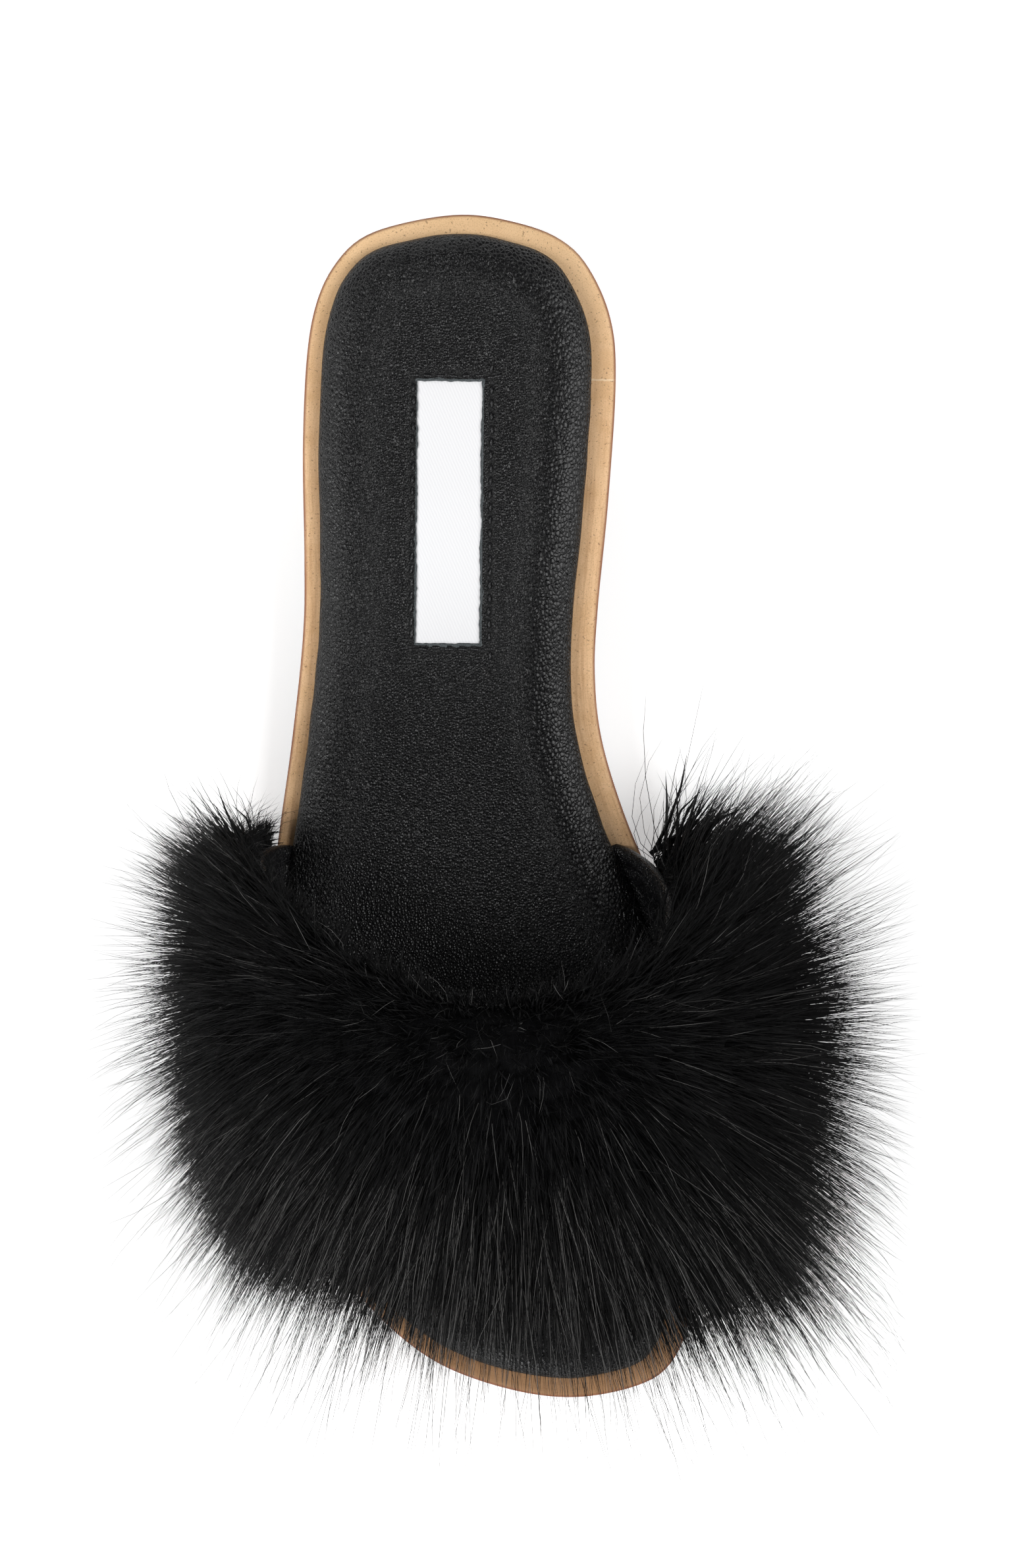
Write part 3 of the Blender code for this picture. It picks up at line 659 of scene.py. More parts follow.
def insole_relief(x, y):
    """How far the pad's top lies under its full thickness, away from the shoulder.

    A shallow parabola across, deepest at the heel, plus a valley along the seam that is deeper at every
    needle hole, plus slow waves of a tenth of a millimetre."""
    right, left = side_x(INNER, y)
    cross = np.clip((x - left) / np.maximum(right - left, MM), 0, 1)
    heel_share = 1 - smoothstep(along_of(y) / SOLE_LENGTH)
    cup = INSOLE_CUP * (0.4 + 0.6 * heel_share) * 4 * cross * (1 - cross)
    across, along = label_frame(x, y)
    holes = 0.75 + 0.25 * np.cos(2 * np.pi * (across + along) / STITCH_PITCH)
    dip = SEAM_DIP * holes * near_seam(x, y)
    wave = 0.12 * MM * np.sin(61 * x + 2) * np.sin(47 * y + 1) + 0.07 * MM * np.sin(150 * x - 90 * y)
    return cup + dip - wave * 4 * cross * (1 - cross)


def insole_top(x, y):
    return insole_underside(y) + INSOLE_THICKNESS - insole_relief(x, y)


def build_insole():
    """Rings of the pad: a tucked foot, an upright side, a shoulder, then on to the spine.

    Over the side, the height is a quarter of a superellipse of the distance from the edge, so the
    shoulder starts steep and fades out 9 mm inside. Fine wrinkles run up the side, where the leather is
    pulled round it."""
    side = [(0.6 * MM, 0.0), (0.12 * MM, 0.5 * MM), (0.0, 1.0 * MM), (0.0, 1.5 * MM), (0.0, SHOULDER_START)]
    reach = INSOLE_SHOULDER * (1 - np.cos(np.radians(np.linspace(7, 90, 13))))
    rows = [(0.8 * MM, s, 0.0) for s in (1.0, 0.5, 0.1)] + [(a, 0, h) for a, h in side]
    low = len(rows)
    to_spine = np.concatenate([np.linspace(0, 0.5, 11)[1:], np.linspace(0.52, 0.84, 22), [0.9, 0.95, 1.0]])
    rows += [(a, 0, 0) for a in reach] + [(INSOLE_SHOULDER, s, 0) for s in to_spine]
    plan, run = carried(insole_curve(), rows, side_steps=230, cap_steps=72)
    x, y = plan[..., 0], plan[..., 1]
    edge_way = np.linalg.norm(plan - plan[low - 1], axis=-1)
    bow = np.clip(edge_way / SHOULDER_REACH, 0, 1)
    round_off = (1 - (1 - bow) ** SHOULDER_POWER) ** (1 / SHOULDER_POWER)
    height = SHOULDER_START + (INSOLE_THICKNESS - SHOULDER_START) * round_off
    height = height - insole_relief(x, y) * smoothstep(edge_way / SHOULDER_REACH)
    height[:low] = np.array(rows)[:low, 2][:, None]
    crease = np.sin(run * 420 + 3 * np.sin(run * 61)) * np.exp(-(((height - 1.6 * MM) / (1.2 * MM)) ** 2))
    crease = crease * (np.array(rows)[:, 1] == 0)[:, None]
    points = np.concatenate([plan, (insole_underside(y) + height)[..., None]], -1)
    points[..., :2] += SIDE_WRINKLE * crease[..., None] * inwards(plan[low - 1])[None]
    edge_way[:low] = 0
    return close_up(new_piece("insole_pad", points, [grid_quads(*x.shape, around=True)],
                              edge_way=edge_way, seam=near_seam(x, y)))


def on_label(across, along, lift):
    """Points on the insole's top, given across and along the label, lifted by some height."""
    x = LABEL_ACROSS + across * math.cos(LABEL_TURN) - along * math.sin(LABEL_TURN)
    y = HEEL_CENTRE - LABEL_ALONG + along * math.cos(LABEL_TURN) + across * math.sin(LABEL_TURN)
    return np.stack([x, y, insole_top(x, y) + lift], -1)


def cut_window(piece):
    """Cuts the label's window out of the pad with a block that follows its top."""
    across, along = np.meshgrid(np.linspace(-0.5, 0.5, 9) * (LABEL_WIDTH + WINDOW_ROOM),
                                np.linspace(-0.5, 0.5, 41) * (LABEL_LENGTH + WINDOW_ROOM))
    layers = np.stack([on_label(across, along, lift) for lift in (-1.1 * MM, 2 * MM)])
    cutter = close_up(new_piece("window_block", layers, closed_block(layers)))
    step = piece.modifiers.new("window", "BOOLEAN")
    step.operation, step.object, step.solver = "DIFFERENCE", cutter, "EXACT"
    cut = bpy.data.meshes.new_from_object(piece.evaluated_get(bpy.context.evaluated_depsgraph_get()))
    piece.modifiers.clear()
    piece.data = cut
    cut.name = piece.name
    bpy.data.objects.remove(cutter)
    cut.set_sharp_from_angle(angle=math.radians(42))
    print("window cut, faces now", len(cut.polygons))
    return piece


# %% Leather finish
def pebbles(f, cell, where, gap, dome, flat):
    """Creases between cells, 0 in the crease, and the height of the cells.

    The height is the creases' own value times flat, plus a dome in every cell times the rest."""
    crease = f.span(f.cells(cell, where, "DISTANCE_TO_EDGE"), 0.0, gap)
    domes = f.math("MULTIPLY", f.span(f.cells(cell, where, "F1"), dome, 0.0), 1 - flat)
    return crease, f.math("MULTIPLY_ADD", crease, flat, domes)


def leather_finish(name, cell, depth, colour, edge=False):
    """Pebbled black leather: domed cells with creases between them, and fine pores. The creases are painted
    dark as shade.

    The cells' borders are bent by a noise. With edge, the pad's own values are read as well: coarser,
    deeper cells take over towards the edge, most of all on the medial side, the steep side is painted darker
    as shade, and the leather is duller along the seam."""
    f = Finish(name, colour, 0.26, Specular_IOR_Level=0.38)
    bend = f.noise(1.3 * cell, detail=2)
    shift = f.node("ShaderNodeCombineXYZ", {0: f.math("MULTIPLY", bend, 0.6 * cell),
                                            1: f.math("MULTIPLY", bend, -0.5 * cell)}).outputs[0]
    bent = {0: f.place((1, 0.78, 1), 0.5), 1: shift}
    where = f.node("ShaderNodeVectorMath", bent, operation="ADD").outputs[0]
    crease, height = pebbles(f, cell, where, 0.16, 0.75, 0.5)
    pore = f.noise(0.2 * MM, detail=2, roughness=0.6)
    # dark, 0.12 of the leather's colour, is painted shade: it fills the creases, and with edge the steep side
    # too.
    dark = tuple(0.12 * part for part in colour)
    tops = f.mix(f.span(pore, 0.35, 0.7), colour, tuple(1.7 * part for part in colour))
    strength, gloss = 1.0, f.span(pore, 0.3, 0.7, 0.22, 0.33)
    if edge:
        way = f.value("edge_way")
        x = f.node("ShaderNodeSeparateXYZ", {"Vector": f.place()}).outputs["X"]
        near = f.math("MULTIPLY", f.span(way, 17 * MM, 7 * MM), f.span(x, -5 * MM, 15 * MM, 0.75, 1.0))
        coarse_crease, coarse_height = pebbles(f, 1.55 * cell, where, 0.14, 0.8, 0.6)
        crease, height = f.between(near, crease, coarse_crease), f.between(near, height, coarse_height)
        strength = f.span(way, 16 * MM, 5 * MM, 0.8, 1.0)
        # Painted shade: within 2.6 mm of the edge, where the side falls away, the tops take the dark crease
        # colour.
        tops = f.mix(f.span(way, 2.6 * MM, 0.6 * MM), tops, dark)
        gloss = f.math("MULTIPLY_ADD", f.value("seam"), 0.3, gloss)
    f.set("Base Color", f.mix(crease, dark, tops))
    f.set("Normal", f.bump(height, depth, strength, f.bump(pore, 0.04 * MM, 0.5)))
    f.set("Roughness", gloss)
    return f


pebbled = leather_finish("insole_pebbled_leather", 0.5 * MM, 0.25 * MM, (0.0025, 0.0025, 0.003), edge=True)
insole = dress(cut_window(build_insole()), pebbled, "insole_leather", "insole")

# %% [markdown]
# ## The woven label
# The real label is a white woven tape behind a window that is cut in the leather. It is left bare here.
# It is a thin plate that domes a little between its edges, with the weave's slanting ribs raised by a
# hundredth of a millimetre. The leather's raw, fuzzy edge round it is a ragged cord of its own.

# %% Label shape
TUCKED_IN = 0.28 * MM


def build_label():
    """A closed plate of two grids. Its top domes with the product of two parabolas and has twill ribs."""
    columns, rows = 31, 121
    a, b = np.meshgrid(np.linspace(-1, 1, columns), np.linspace(-1, 1, rows))
    dome = 0.25 * MM * (1 - a**4) * (1 - b**8)
    across, along = a * (LABEL_WIDTH / 2 + TUCKED_IN), b * (LABEL_LENGTH / 2 + TUCKED_IN)
    twill = 0.012 * MM * np.sin(2 * np.pi * (across + 0.45 * along) / (0.75 * MM))
    top = on_label(across, along, -0.62 * MM + dome + twill)
    bottom = on_label(across, along, np.full(a.shape, -0.95 * MM))
    layers = np.stack([bottom, top])
    lay = np.stack([np.stack([across, along, 0 * a], -1)] * 2)
    return close_up(new_piece("label_weave_bare", layers, closed_block(layers), weave=lay), 50)


def label_finish():
    f = Finish("white_woven_satin", (0.8, 0.8, 0.81), 0.6, Sheen_Weight=0.25, Sheen_Roughness=0.4)
    way = f.node("ShaderNodeAttribute", attribute_name="weave").outputs["Vector"]
    twill = f.node("ShaderNodeTexWave", {"Vector": f.node("ShaderNodeMapping", {
        "Vector": way, "Rotation": (0, 0, math.radians(-24))}).outputs[0], "Scale": 1 / (1.9 * MM),
        "Distortion": 1.2, "Detail": 2, "Detail Scale": 2}).outputs["Fac"]
    thread = f.noise(0.2 * MM, f.vector("weave", (1, 0.25, 1)), detail=2)
    f.set("Base Color", f.mix(f.math("MULTIPLY", twill, 0.35), (0.83, 0.83, 0.84), (0.66, 0.66, 0.68)))
    f.set("Normal", f.bump(twill, 0.03 * MM, 0.5, f.bump(thread, 0.03 * MM, 0.4)))
    return f


label = dress(build_label(), label_finish(), "label_weave", "label")

# %% Raw leather edge of the window
def rectangle_path(width, length, count, corner):
    """Points at equal steps round a rectangle with round corners, as across and along."""
    angle = np.linspace(0, np.pi / 2, 9)
    quarter = np.stack([np.cos(angle), np.sin(angle)], 1) * corner
    middle = np.array([width / 2 - corner, length / 2 - corner])
    flips = [((1, 1), 1), ((-1, 1), -1), ((-1, -1), 1), ((1, -1), -1)]
    path = np.vstack([((middle + quarter) * flip)[::order] for flip, order in flips])
    path = np.vstack([path, path[:1]])
    way = np.concatenate([[0], np.cumsum(np.linalg.norm(np.diff(path, axis=0), axis=1))])
    at = np.linspace(0, way[-1], count + 1)[:-1]
    return np.interp(at, way, path[:, 0]), np.interp(at, way, path[:, 1])


def ragged(count, rng, sizes=(3, 9, 27)):
    """Uneven numbers round a closed ring: noise smoothed over a few widths, each brought to one size.

    The noise's waves are lowered by a bell curve of their number, which is narrower for a larger width."""
    waves = np.arange(count // 2 + 1)
    total = np.zeros(count)
    for width in sizes:
        bell = np.exp(-((waves * width / count) ** 2) * 8)
        noise = np.fft.irfft(np.fft.rfft(rng.normal(0, 1, count)) * bell)
        total += noise / noise.std()
    return total / len(sizes)


def build_raw_edge():
    """A ragged ring: a flat section swept round the window, its inner and outer edge uneven by chance.

    The cut edge shows widest on the medial side and at both ends, as the window lies off the label's
    middle."""
    around, section = 900, 8
    across, along = rectangle_path(LABEL_WIDTH + 0.9 * MM, LABEL_LENGTH + 0.9 * MM, around, 0.5 * MM)
    ahead = unit(np.stack([np.roll(line, -1) - np.roll(line, 1) for line in (across, along)], 1))
    rng = np.random.default_rng(3)
    medial = np.clip(across / (LABEL_WIDTH / 2), 0, 1)
    ends = np.clip((abs(along) - LABEL_LENGTH / 2) / (0.3 * MM), 0, 1)
    half = (0.34 + 0.22 * np.maximum(medial, ends) + 0.1 * ragged(around, rng)) * MM
    middle = 0.12 * MM * ragged(around, rng)
    angle = 2 * np.pi * np.arange(section) / section
    side = middle[None] + np.cos(angle)[:, None] * half
    lift = -0.42 * MM + 0.4 * MM * np.sin(angle)[:, None] + 0.05 * MM * ragged(around, rng)
    points = on_label(across - side * ahead[:, 1], along + side * ahead[:, 0], lift)
    points = np.concatenate([points, points[:1]])
    return close_up(new_piece("window_raw_edge", points, [grid_quads(*points.shape[:2], around=True)]))


def raw_edge_finish():
    f = Finish("raw_leather_edge", (0.06, 0.065, 0.068), 0.85, Specular_IOR_Level=0.25)
    fuzz = f.noise(0.16 * MM, detail=4, roughness=0.7)
    f.set("Base Color", f.mix(f.span(fuzz, 0.35, 0.65), (0.022, 0.026, 0.028), (0.12, 0.135, 0.14)))
    f.set("Normal", f.bump(fuzz, 0.12 * MM, 0.8))
    return f


raw_edge = dress(build_raw_edge(), raw_edge_finish(), "insole_leather")

# %% [markdown]
# ## Stitches round the label
# A black lockstitch holds the label behind its window. Every stitch is a short thick thread whose two ends
# dive into the leather. All of them are worked out as one array: the same bent tube, set at equal steps
# round the seam and turned a little by chance. At the corners the seam overshoots by a stitch.

# %% Stitches
THREAD = 0.62 * MM


def bent_tubes(middle, ahead, surface, length, radius, steps=9, section=8):
    """One closed tube per stitch.

    The thread's middle line is a flat arch over the surface: it runs straight ahead and its height is the
    square root of half a sine. surface(across, along, lift) gives the points in space."""
    s = np.linspace(-0.5, 0.5, steps)
    angle = 2 * np.pi * np.arange(section) / section
    fat = radius * np.sqrt(np.clip(1 - (2 * s) ** 6, 0.0, 1))
    arch = radius * (1.1 * np.cos(np.pi * s) ** 0.5 - 0.75)
    line = middle[:, None, :] + ahead[:, None, :] * (s * length)[None, :, None]
    aside = np.stack([-ahead[:, 1], ahead[:, 0]], 1)
    ring = line[:, :, None, :] + aside[:, None, None, :] * (fat[:, None] * np.cos(angle))[None, :, :, None]
    lift = arch[:, None] + fat[:, None] * np.sin(angle)
    points = surface(ring[..., 0], ring[..., 1], np.broadcast_to(lift, ring.shape[:3]))
    quads = grid_quads(steps, section, around=True)
    caps = np.stack([np.arange(section), np.arange(section)[::-1] + (steps - 1) * section])
    first = np.arange(len(middle))[:, None, None] * steps * section
    return points, [(first + quads).reshape(-1, 4), (first + caps).reshape(-1, section)]


def build_stitches():
    """Stitches at equal steps round the seam, and four more that overshoot its corners."""
    right, end = SEAM_WIDTH / 2, SEAM_LENGTH / 2
    count = round(2 * (SEAM_WIDTH + SEAM_LENGTH) / STITCH_PITCH)
    across, along = rectangle_path(SEAM_WIDTH, SEAM_LENGTH, count, 0.3 * MM)
    ahead = np.where((abs(along) > end - 0.4 * MM)[:, None], (1.0, 0.0), (0.0, 1.0))
    extra = np.array([(right + 1.4 * MM, end), (right, end + 1.5 * MM),
                      (-right - 1.3 * MM, -end), (right + 0.2 * MM, -end - 1.4 * MM)])
    middle = np.vstack([np.stack([across, along], 1), extra]) + np.array([SEAM_ACROSS, 0])
    ahead = np.vstack([ahead, [(1, 0), (0, 1), (1, 0), (0, 1)]])
    rng = np.random.default_rng(11)
    turn = rng.normal(0, 0.07, len(middle))
    c, s = np.cos(turn), np.sin(turn)
    ahead = np.stack([c * ahead[:, 0] - s * ahead[:, 1], s * ahead[:, 0] + c * ahead[:, 1]], 1)
    middle = middle + rng.normal(0, 0.06 * MM, middle.shape)
    points, faces = bent_tubes(middle, ahead, on_label, 0.8 * STITCH_PITCH, THREAD / 2)
    print("stitches:", len(middle))
    return close_up(new_piece("label_stitches", points, faces))


def thread_finish():
    f = Finish("black_thread", (0.007, 0.007, 0.008), 0.36, Specular_IOR_Level=0.5)
    inputs = {"Vector": f.place(turn=0.6), "Scale": 1 / (1.1 * MM), "Distortion": 0.5}
    twist = f.node("ShaderNodeTexWave", inputs).outputs["Fac"]
    f.set("Normal", f.bump(twist, 0.06 * MM, 0.6))
    return f


stitches = dress(build_stitches(), thread_finish(), "insole_leather")

# %% [markdown]
# ## The band
# The upper is one wide band. Its ends are tucked in between board and insole. It leaves the sole's edge
# outwards, bulges a little and arches over the foot, higher behind than in front. The band is a function
# of two numbers: the turn over the foot, from 0 at the medial edge to 1 at the lateral one, and the share
# of the way from its rear edge to its front edge. Fur and lining both use this one function.

# %% The band's surface
def band_along(turn, share):
    """Place along the shoe. Each edge runs from its place at the side to its place at the top with a power
    of the sine of the turn, so the rear edge sweeps forward fast on the medial side."""
    sweep = np.where(turn < 0.5, BAND_SWEEP_MEDIAL, BAND_SWEEP_LATERAL)
    rise = np.clip(np.sin(np.pi * turn), 0, 1) ** sweep
    rear = BAND_REAR_AT_SIDE + (BAND_REAR_AT_TOP - BAND_REAR_AT_SIDE) * rise
    front = BAND_FRONT_AT_SIDE + (BAND_FRONT_AT_TOP - BAND_FRONT_AT_SIDE) * rise
    return rear + (front - rear) * share


FOOT_CURVE = insole_curve(-GAP)


def band_inner(turn, share):
    """Inner face of the band: a superellipse over the foot, wider at half its height by a sine bulge."""
    along = band_along(turn, share)
    y = HEEL_CENTRE - along
    right, left = side_x(FOOT_CURVE, y)
    run = (along - BAND_REAR_AT_SIDE) / (BAND_FRONT_AT_SIDE - BAND_REAR_AT_SIDE)
    height = BAND_HEIGHT_REAR + (BAND_HEIGHT_FRONT - BAND_HEIGHT_REAR) * run
    angle = np.pi * np.clip(turn, 0, 1)
    power = 2 / BAND_SQUARENESS
    across = np.sign(np.cos(angle)) * np.abs(np.cos(angle)) ** power
    rise = np.abs(np.sin(angle)) ** power
    half = (right - left) / 2 + BAND_BULGE * np.sin(np.pi * rise**0.7)
    x = (right + left) / 2 + half * across + BAND_CREST_SHIFT * rise**2
    z = board_top(y) + GAP + BAND_FLANGE_THICKNESS + height * rise
    return np.stack([x, y, z], -1)


def band_normal(turn, share):
    """Unit vector away from the foot: the cross product of the ways over the foot and along it."""
    nudge = 0.001
    turn = np.clip(turn, nudge, 1 - nudge)
    over = band_inner(turn + nudge, share) - band_inner(turn - nudge, share)
    ahead = band_inner(turn, share + nudge) - band_inner(turn, share - nudge)
    return unit(np.cross(over, ahead))


# %% [markdown]
# The lining is folded over both edges of the band. So its section along the shoe is a closed loop: the
# inner face, a round bead at the front edge, the outer face under the fur, and a thicker bead at the rear
# edge, with a seam groove just inside it. This loop is carried over the foot. Low waves near the medial
# root are the creases where the leather is pulled under the insole.

# %% Band shape and finish
REAR_BEAD = 1.35 * MM
FRONT_BEAD = 1.3 * MM
SEAM_IN_BAND = 0.055


def band_section():
    """Rows of share and of offset from the inner face, once round the band's section."""
    inner = [(s, 0.0) for s in (0.9, 0.8, 0.68, 0.56, 0.44, 0.32, 0.22, 0.15, 0.1, 0.075)]
    inner += [(SEAM_IN_BAND + 0.008, 0.05 * MM), (SEAM_IN_BAND, 0.35 * MM), (SEAM_IN_BAND - 0.008, 0.02 * MM)]
    middle = BAND_WALL / 2
    turn = np.radians(np.linspace(8, 172, 12))
    rear = [(0.026 - 0.024 * math.sin(t), middle - REAR_BEAD * math.cos(t)) for t in turn]
    outer = [(s, BAND_WALL) for s in (0.06, 0.1, 0.2, 0.35, 0.5, 0.65, 0.8, 0.9, 0.95)]
    turn = np.radians(np.linspace(10, 170, 9))
    front = [(0.976 + 0.02 * math.sin(t), middle + FRONT_BEAD * math.cos(t)) for t in turn]
    return np.array(inner + rear + outer + front)


def build_band():
    """The section carried over the foot, with a flange at both ends that runs in under the insole.

    The steps are closer at both ends and on top. Creases near the medial root and low waves over the whole
    band move it along its normal."""
    share, offset = band_section().T
    turn = np.linspace(0, 1, 150)
    turn = turn - np.sin(4 * np.pi * turn) / (8 * np.pi)
    turns, shares = np.meshgrid(turn, share)
    near_root = np.exp(-((turns / 0.11) ** 2))
    crease = 0.35 * MM * np.sin(150 * shares + 7 * turns) * near_root * smoothstep(turns / 0.03)
    wave = 0.25 * MM * np.sin(9 * np.pi * turns + 3 * shares)
    wave = wave * smoothstep(turns / 0.1) * smoothstep((1 - turns) / 0.1)
    lift = offset[:, None] + crease + wave
    points = band_inner(turns, shares) + band_normal(turns, shares) * lift[..., None]
    points[..., 2] = np.maximum(points[..., 2], board_top(points[..., 1]) + GAP)
    inside = offset < BAND_WALL / 2
    reach = np.array([0.06, 0.35, 0.7, 1.0]) * BAND_FLANGE_LENGTH
    ends = []
    for column, sign in ((0, -1.0), (-1, 1.0)):
        foot = band_inner(turns[:, column], shares[:, column])
        flange = np.repeat(foot[:, None], len(reach), 1)
        flange[..., 0] += sign * reach
        low = board_top(flange[..., 1]) + GAP
        flange[..., 2] = np.where(inside[:, None], low + BAND_FLANGE_THICKNESS, low)
        ends.append(flange)
    points = np.concatenate([ends[0][:, ::-1], points, ends[1]], 1)
    closing = points.mean(0, keepdims=True)
    first, last = (np.repeat(closing[:, k: k + 1], len(points), 0) for k in (0, points.shape[1] - 1))
    points = np.concatenate([first, points, last], 1)
    loop = np.concatenate([points, points[:1]])
    return close_up(new_piece("band_lining", loop, [grid_quads(*loop.shape[:2])]), 60)


lining = leather_finish("band_lining_leather", 0.5 * MM, 0.12 * MM, (0.0035, 0.0035, 0.004))
band = dress(build_band(), lining, "band_leather", "upper")

# %% [markdown]
# ## How the fur lies
# Fake fur is a knitted ground with two kinds of fibre: a dense, short underfur and long guard hairs. On
# this band the hairs fan out from the middle: back at the rear edge, out at the sides, and far forward and
# down over the toe. One table says how deep the fur is and how it is combed from the rear edge to the
# front edge. Every hair and every lock reads it, so the fur keeps one flow.

# %% Depth and flow of the fur
PILE_MEDIAL = 25 * MM
PILE_TOP = 14 * MM
PILE_LATERAL = 14.5 * MM
FUR_BASE = BAND_WALL + 0.9 * MM
OVER_BAND = 150 * MM
ALONG_BAND = 68 * MM
FUR_ROOM = np.array([(-79.5, -237, 2.5), (97, 30, 97)]) * MM
FAN_CENTRE = np.array([12 * MM, -140 * MM])
LATERAL_LEAN = 0.45
FUR_FLOW = np.array([
    # share, depth at the sides, depth on top, forward lean at the sides, forward lean on top
    (0.00, 0.95, 0.80, -1.00, -0.55),
    (0.10, 1.05, 0.95, -0.65, -0.15),
    (0.25, 1.05, 1.00, -0.25, 0.35),
    (0.50, 1.00, 1.00, 0.30, 0.80),
    (0.75, 0.95, 1.14, 0.95, 1.15),
    (1.00, 0.85, 1.40, 1.60, 1.60),
])


def sideways(turn):
    """1 at the band's sides, 0 on its top."""
    return np.abs(np.cos(np.pi * np.clip(turn, 0, 1)))


def flow_at(share, column):
    return np.interp(share, FUR_FLOW[:, 0], FUR_FLOW[:, column])


def fur_depth(turn, share):
    """Depth of the dense fur: a table over the foot, times a table from rear to front.

    It is thinner at the feet of the band, and short at the rear edge on top."""
    over = np.interp(turn, [0, 0.5, 1], [PILE_MEDIAL, PILE_TOP, PILE_LATERAL])
    foot = np.interp(np.minimum(turn, 1 - turn), [0, 0.1, 0.22], [0.8, 0.95, 1])
    side = sideways(turn)
    throat = 1 - (1 - side) * np.interp(share, [0, 0.1, 0.35], [0.5, 0.3, 0])
    return over * (side * flow_at(share, 1) + (1 - side) * flow_at(share, 2)) * foot * throat


def fur_way(turn, share, normal, strength):
    """Combing direction: the normal plus strength times a lean.

    The lean is forward or back by the table, more forward on the lateral side, and down at the sides and
    wherever the hair leans forward."""
    side = sideways(turn)
    forward = side * flow_at(share, 3) + (1 - side) * flow_at(share, 4)
    forward = forward + LATERAL_LEAN * side * (turn > 0.5) * np.clip(share / 0.3, 0, 1)
    lean = np.stack([0 * forward, -forward, -0.3 * side - 0.25 * np.clip(forward, 0, 2)], -1)
    return unit(normal + strength * lean)


# %% [markdown]
# ## The underfur
# Under the guard hairs lies a dense mat. It could be left out, but then one would see the band between the
# hairs. It is a thick closed skin on the band whose top is pulled out into many small tufts: the height of
# each point is a cone round the nearest of 420 tuft centres. It sinks to a quarter at its border.

# %% Underfur shape
MAT_TURN = 0.03
MAT_SHARE = 0.015
MAT_LOWEST = 7 * MM
TUFT_RADIUS = 4.2 * MM


def tuft_places(rows, columns, seed):
    """Turn and share of tuft centres on a staggered grid that is a little uneven."""
    rng = np.random.default_rng(seed)
    row, column = np.meshgrid(np.arange(rows), np.arange(columns), indexing="ij")
    uneven = rng.uniform(-0.35, 0.35, (2,) + row.shape)
    turn = (column + 0.25 + 0.5 * (row % 2) + uneven[0]) / columns
    share = (row + 0.5 + uneven[1]) / rows
    return 0.03 + 0.94 * turn.ravel(), 0.01 + 0.98 * share.ravel()


def build_underfur():
    """Two grids, the base on the band and the combed top, joined to a closed block."""
    turn, share = np.meshgrid(np.linspace(MAT_TURN, 1 - MAT_TURN, 141),
                              np.linspace(MAT_SHARE, 1 - MAT_SHARE, 61))
    normal = band_normal(turn, share)
    base = band_inner(turn, share) + normal * FUR_BASE
    tuft_turn, tuft_share = tuft_places(14, 30, 21)
    over = (turn[..., None] - tuft_turn) * OVER_BAND
    ahead = (share[..., None] - tuft_share) * ALONG_BAND
    near = np.sqrt(np.min(over**2 + ahead**2, axis=-1)) / TUFT_RADIUS
    tuft = np.clip(1 - near, 0, 1) ** 0.8
    border = np.minimum(np.minimum(turn - MAT_TURN, 1 - MAT_TURN - turn) / 0.12,
                        np.minimum(share - MAT_SHARE, 1 - MAT_SHARE - share) / 0.2)
    pillow = 0.25 + 0.75 * np.sqrt(1 - (1 - np.clip(border, 0, 1)) ** 2)
    depth = fur_depth(turn, share) * (0.48 + 0.4 * tuft) * pillow
    top = base + fur_way(turn, share, normal, 0.8) * depth[..., None]
    top[..., 2] = np.maximum(top[..., 2], MAT_LOWEST)
    layers = np.stack([base, top])
    strand = np.stack([np.stack([turn * OVER_BAND, share * ALONG_BAND, 0 * turn], -1)] * 2)
    return close_up(new_piece("underfur_mat", layers, closed_block(layers), strand=strand))


def underfur_finish():
    f = Finish("black_underfur", (0.0015, 0.0015, 0.0017), 0.8, Specular_IOR_Level=0.08)
    hair = f.noise(0.35 * MM, f.vector("strand", (1, 0.12, 1)), detail=4, roughness=0.7)
    f.set("Base Color", f.mix(f.span(hair, 0.4, 0.7), (0.0008, 0.0008, 0.001), (0.003, 0.003, 0.0035)))
    f.set("Normal", f.bump(hair, 0.5 * MM, 0.8))
    return f


underfur = dress(build_underfur(), underfur_finish(), "long_fur", "fur")

# %% [markdown]
# ## Hairs as needles
# Blender's own hair curves can't be kept as a mesh with a closed skin, so each hair is a thin three-sided
# needle with a bent middle line. A hair starts in one direction and its slope changes evenly to a second
# one, which is how a springy fibre hangs. Its tip is drawn to the tip of its lock. All hairs of a layer
# are one array of points: hair, step along the hair, corner of its section.

# %% Needles
def bent_lines(root, first, last, length, steps):
    """Middle lines [hair, step, xyz]: root + length * (s * first + s**2 / 2 * (last - first))."""
    s = np.linspace(0, 1, steps)[None, :, None]
    first, last = unit(first)[:, None], unit(last)[:, None]
    return root[:, None] + length[:, None, None] * (s * first + 0.5 * s**2 * (last - first))


def within_room(lines):
    """Shortens a line's reach along an axis where it would leave the room that the fur may fill."""
    root = lines[:, :1]
    reach = lines - root
    over = np.maximum(reach.max(1) / (FUR_ROOM[1] - root[:, 0]), reach.min(1) / (FUR_ROOM[0] - root[:, 0]))
    return root + reach / np.maximum(over, 1)[:, None]


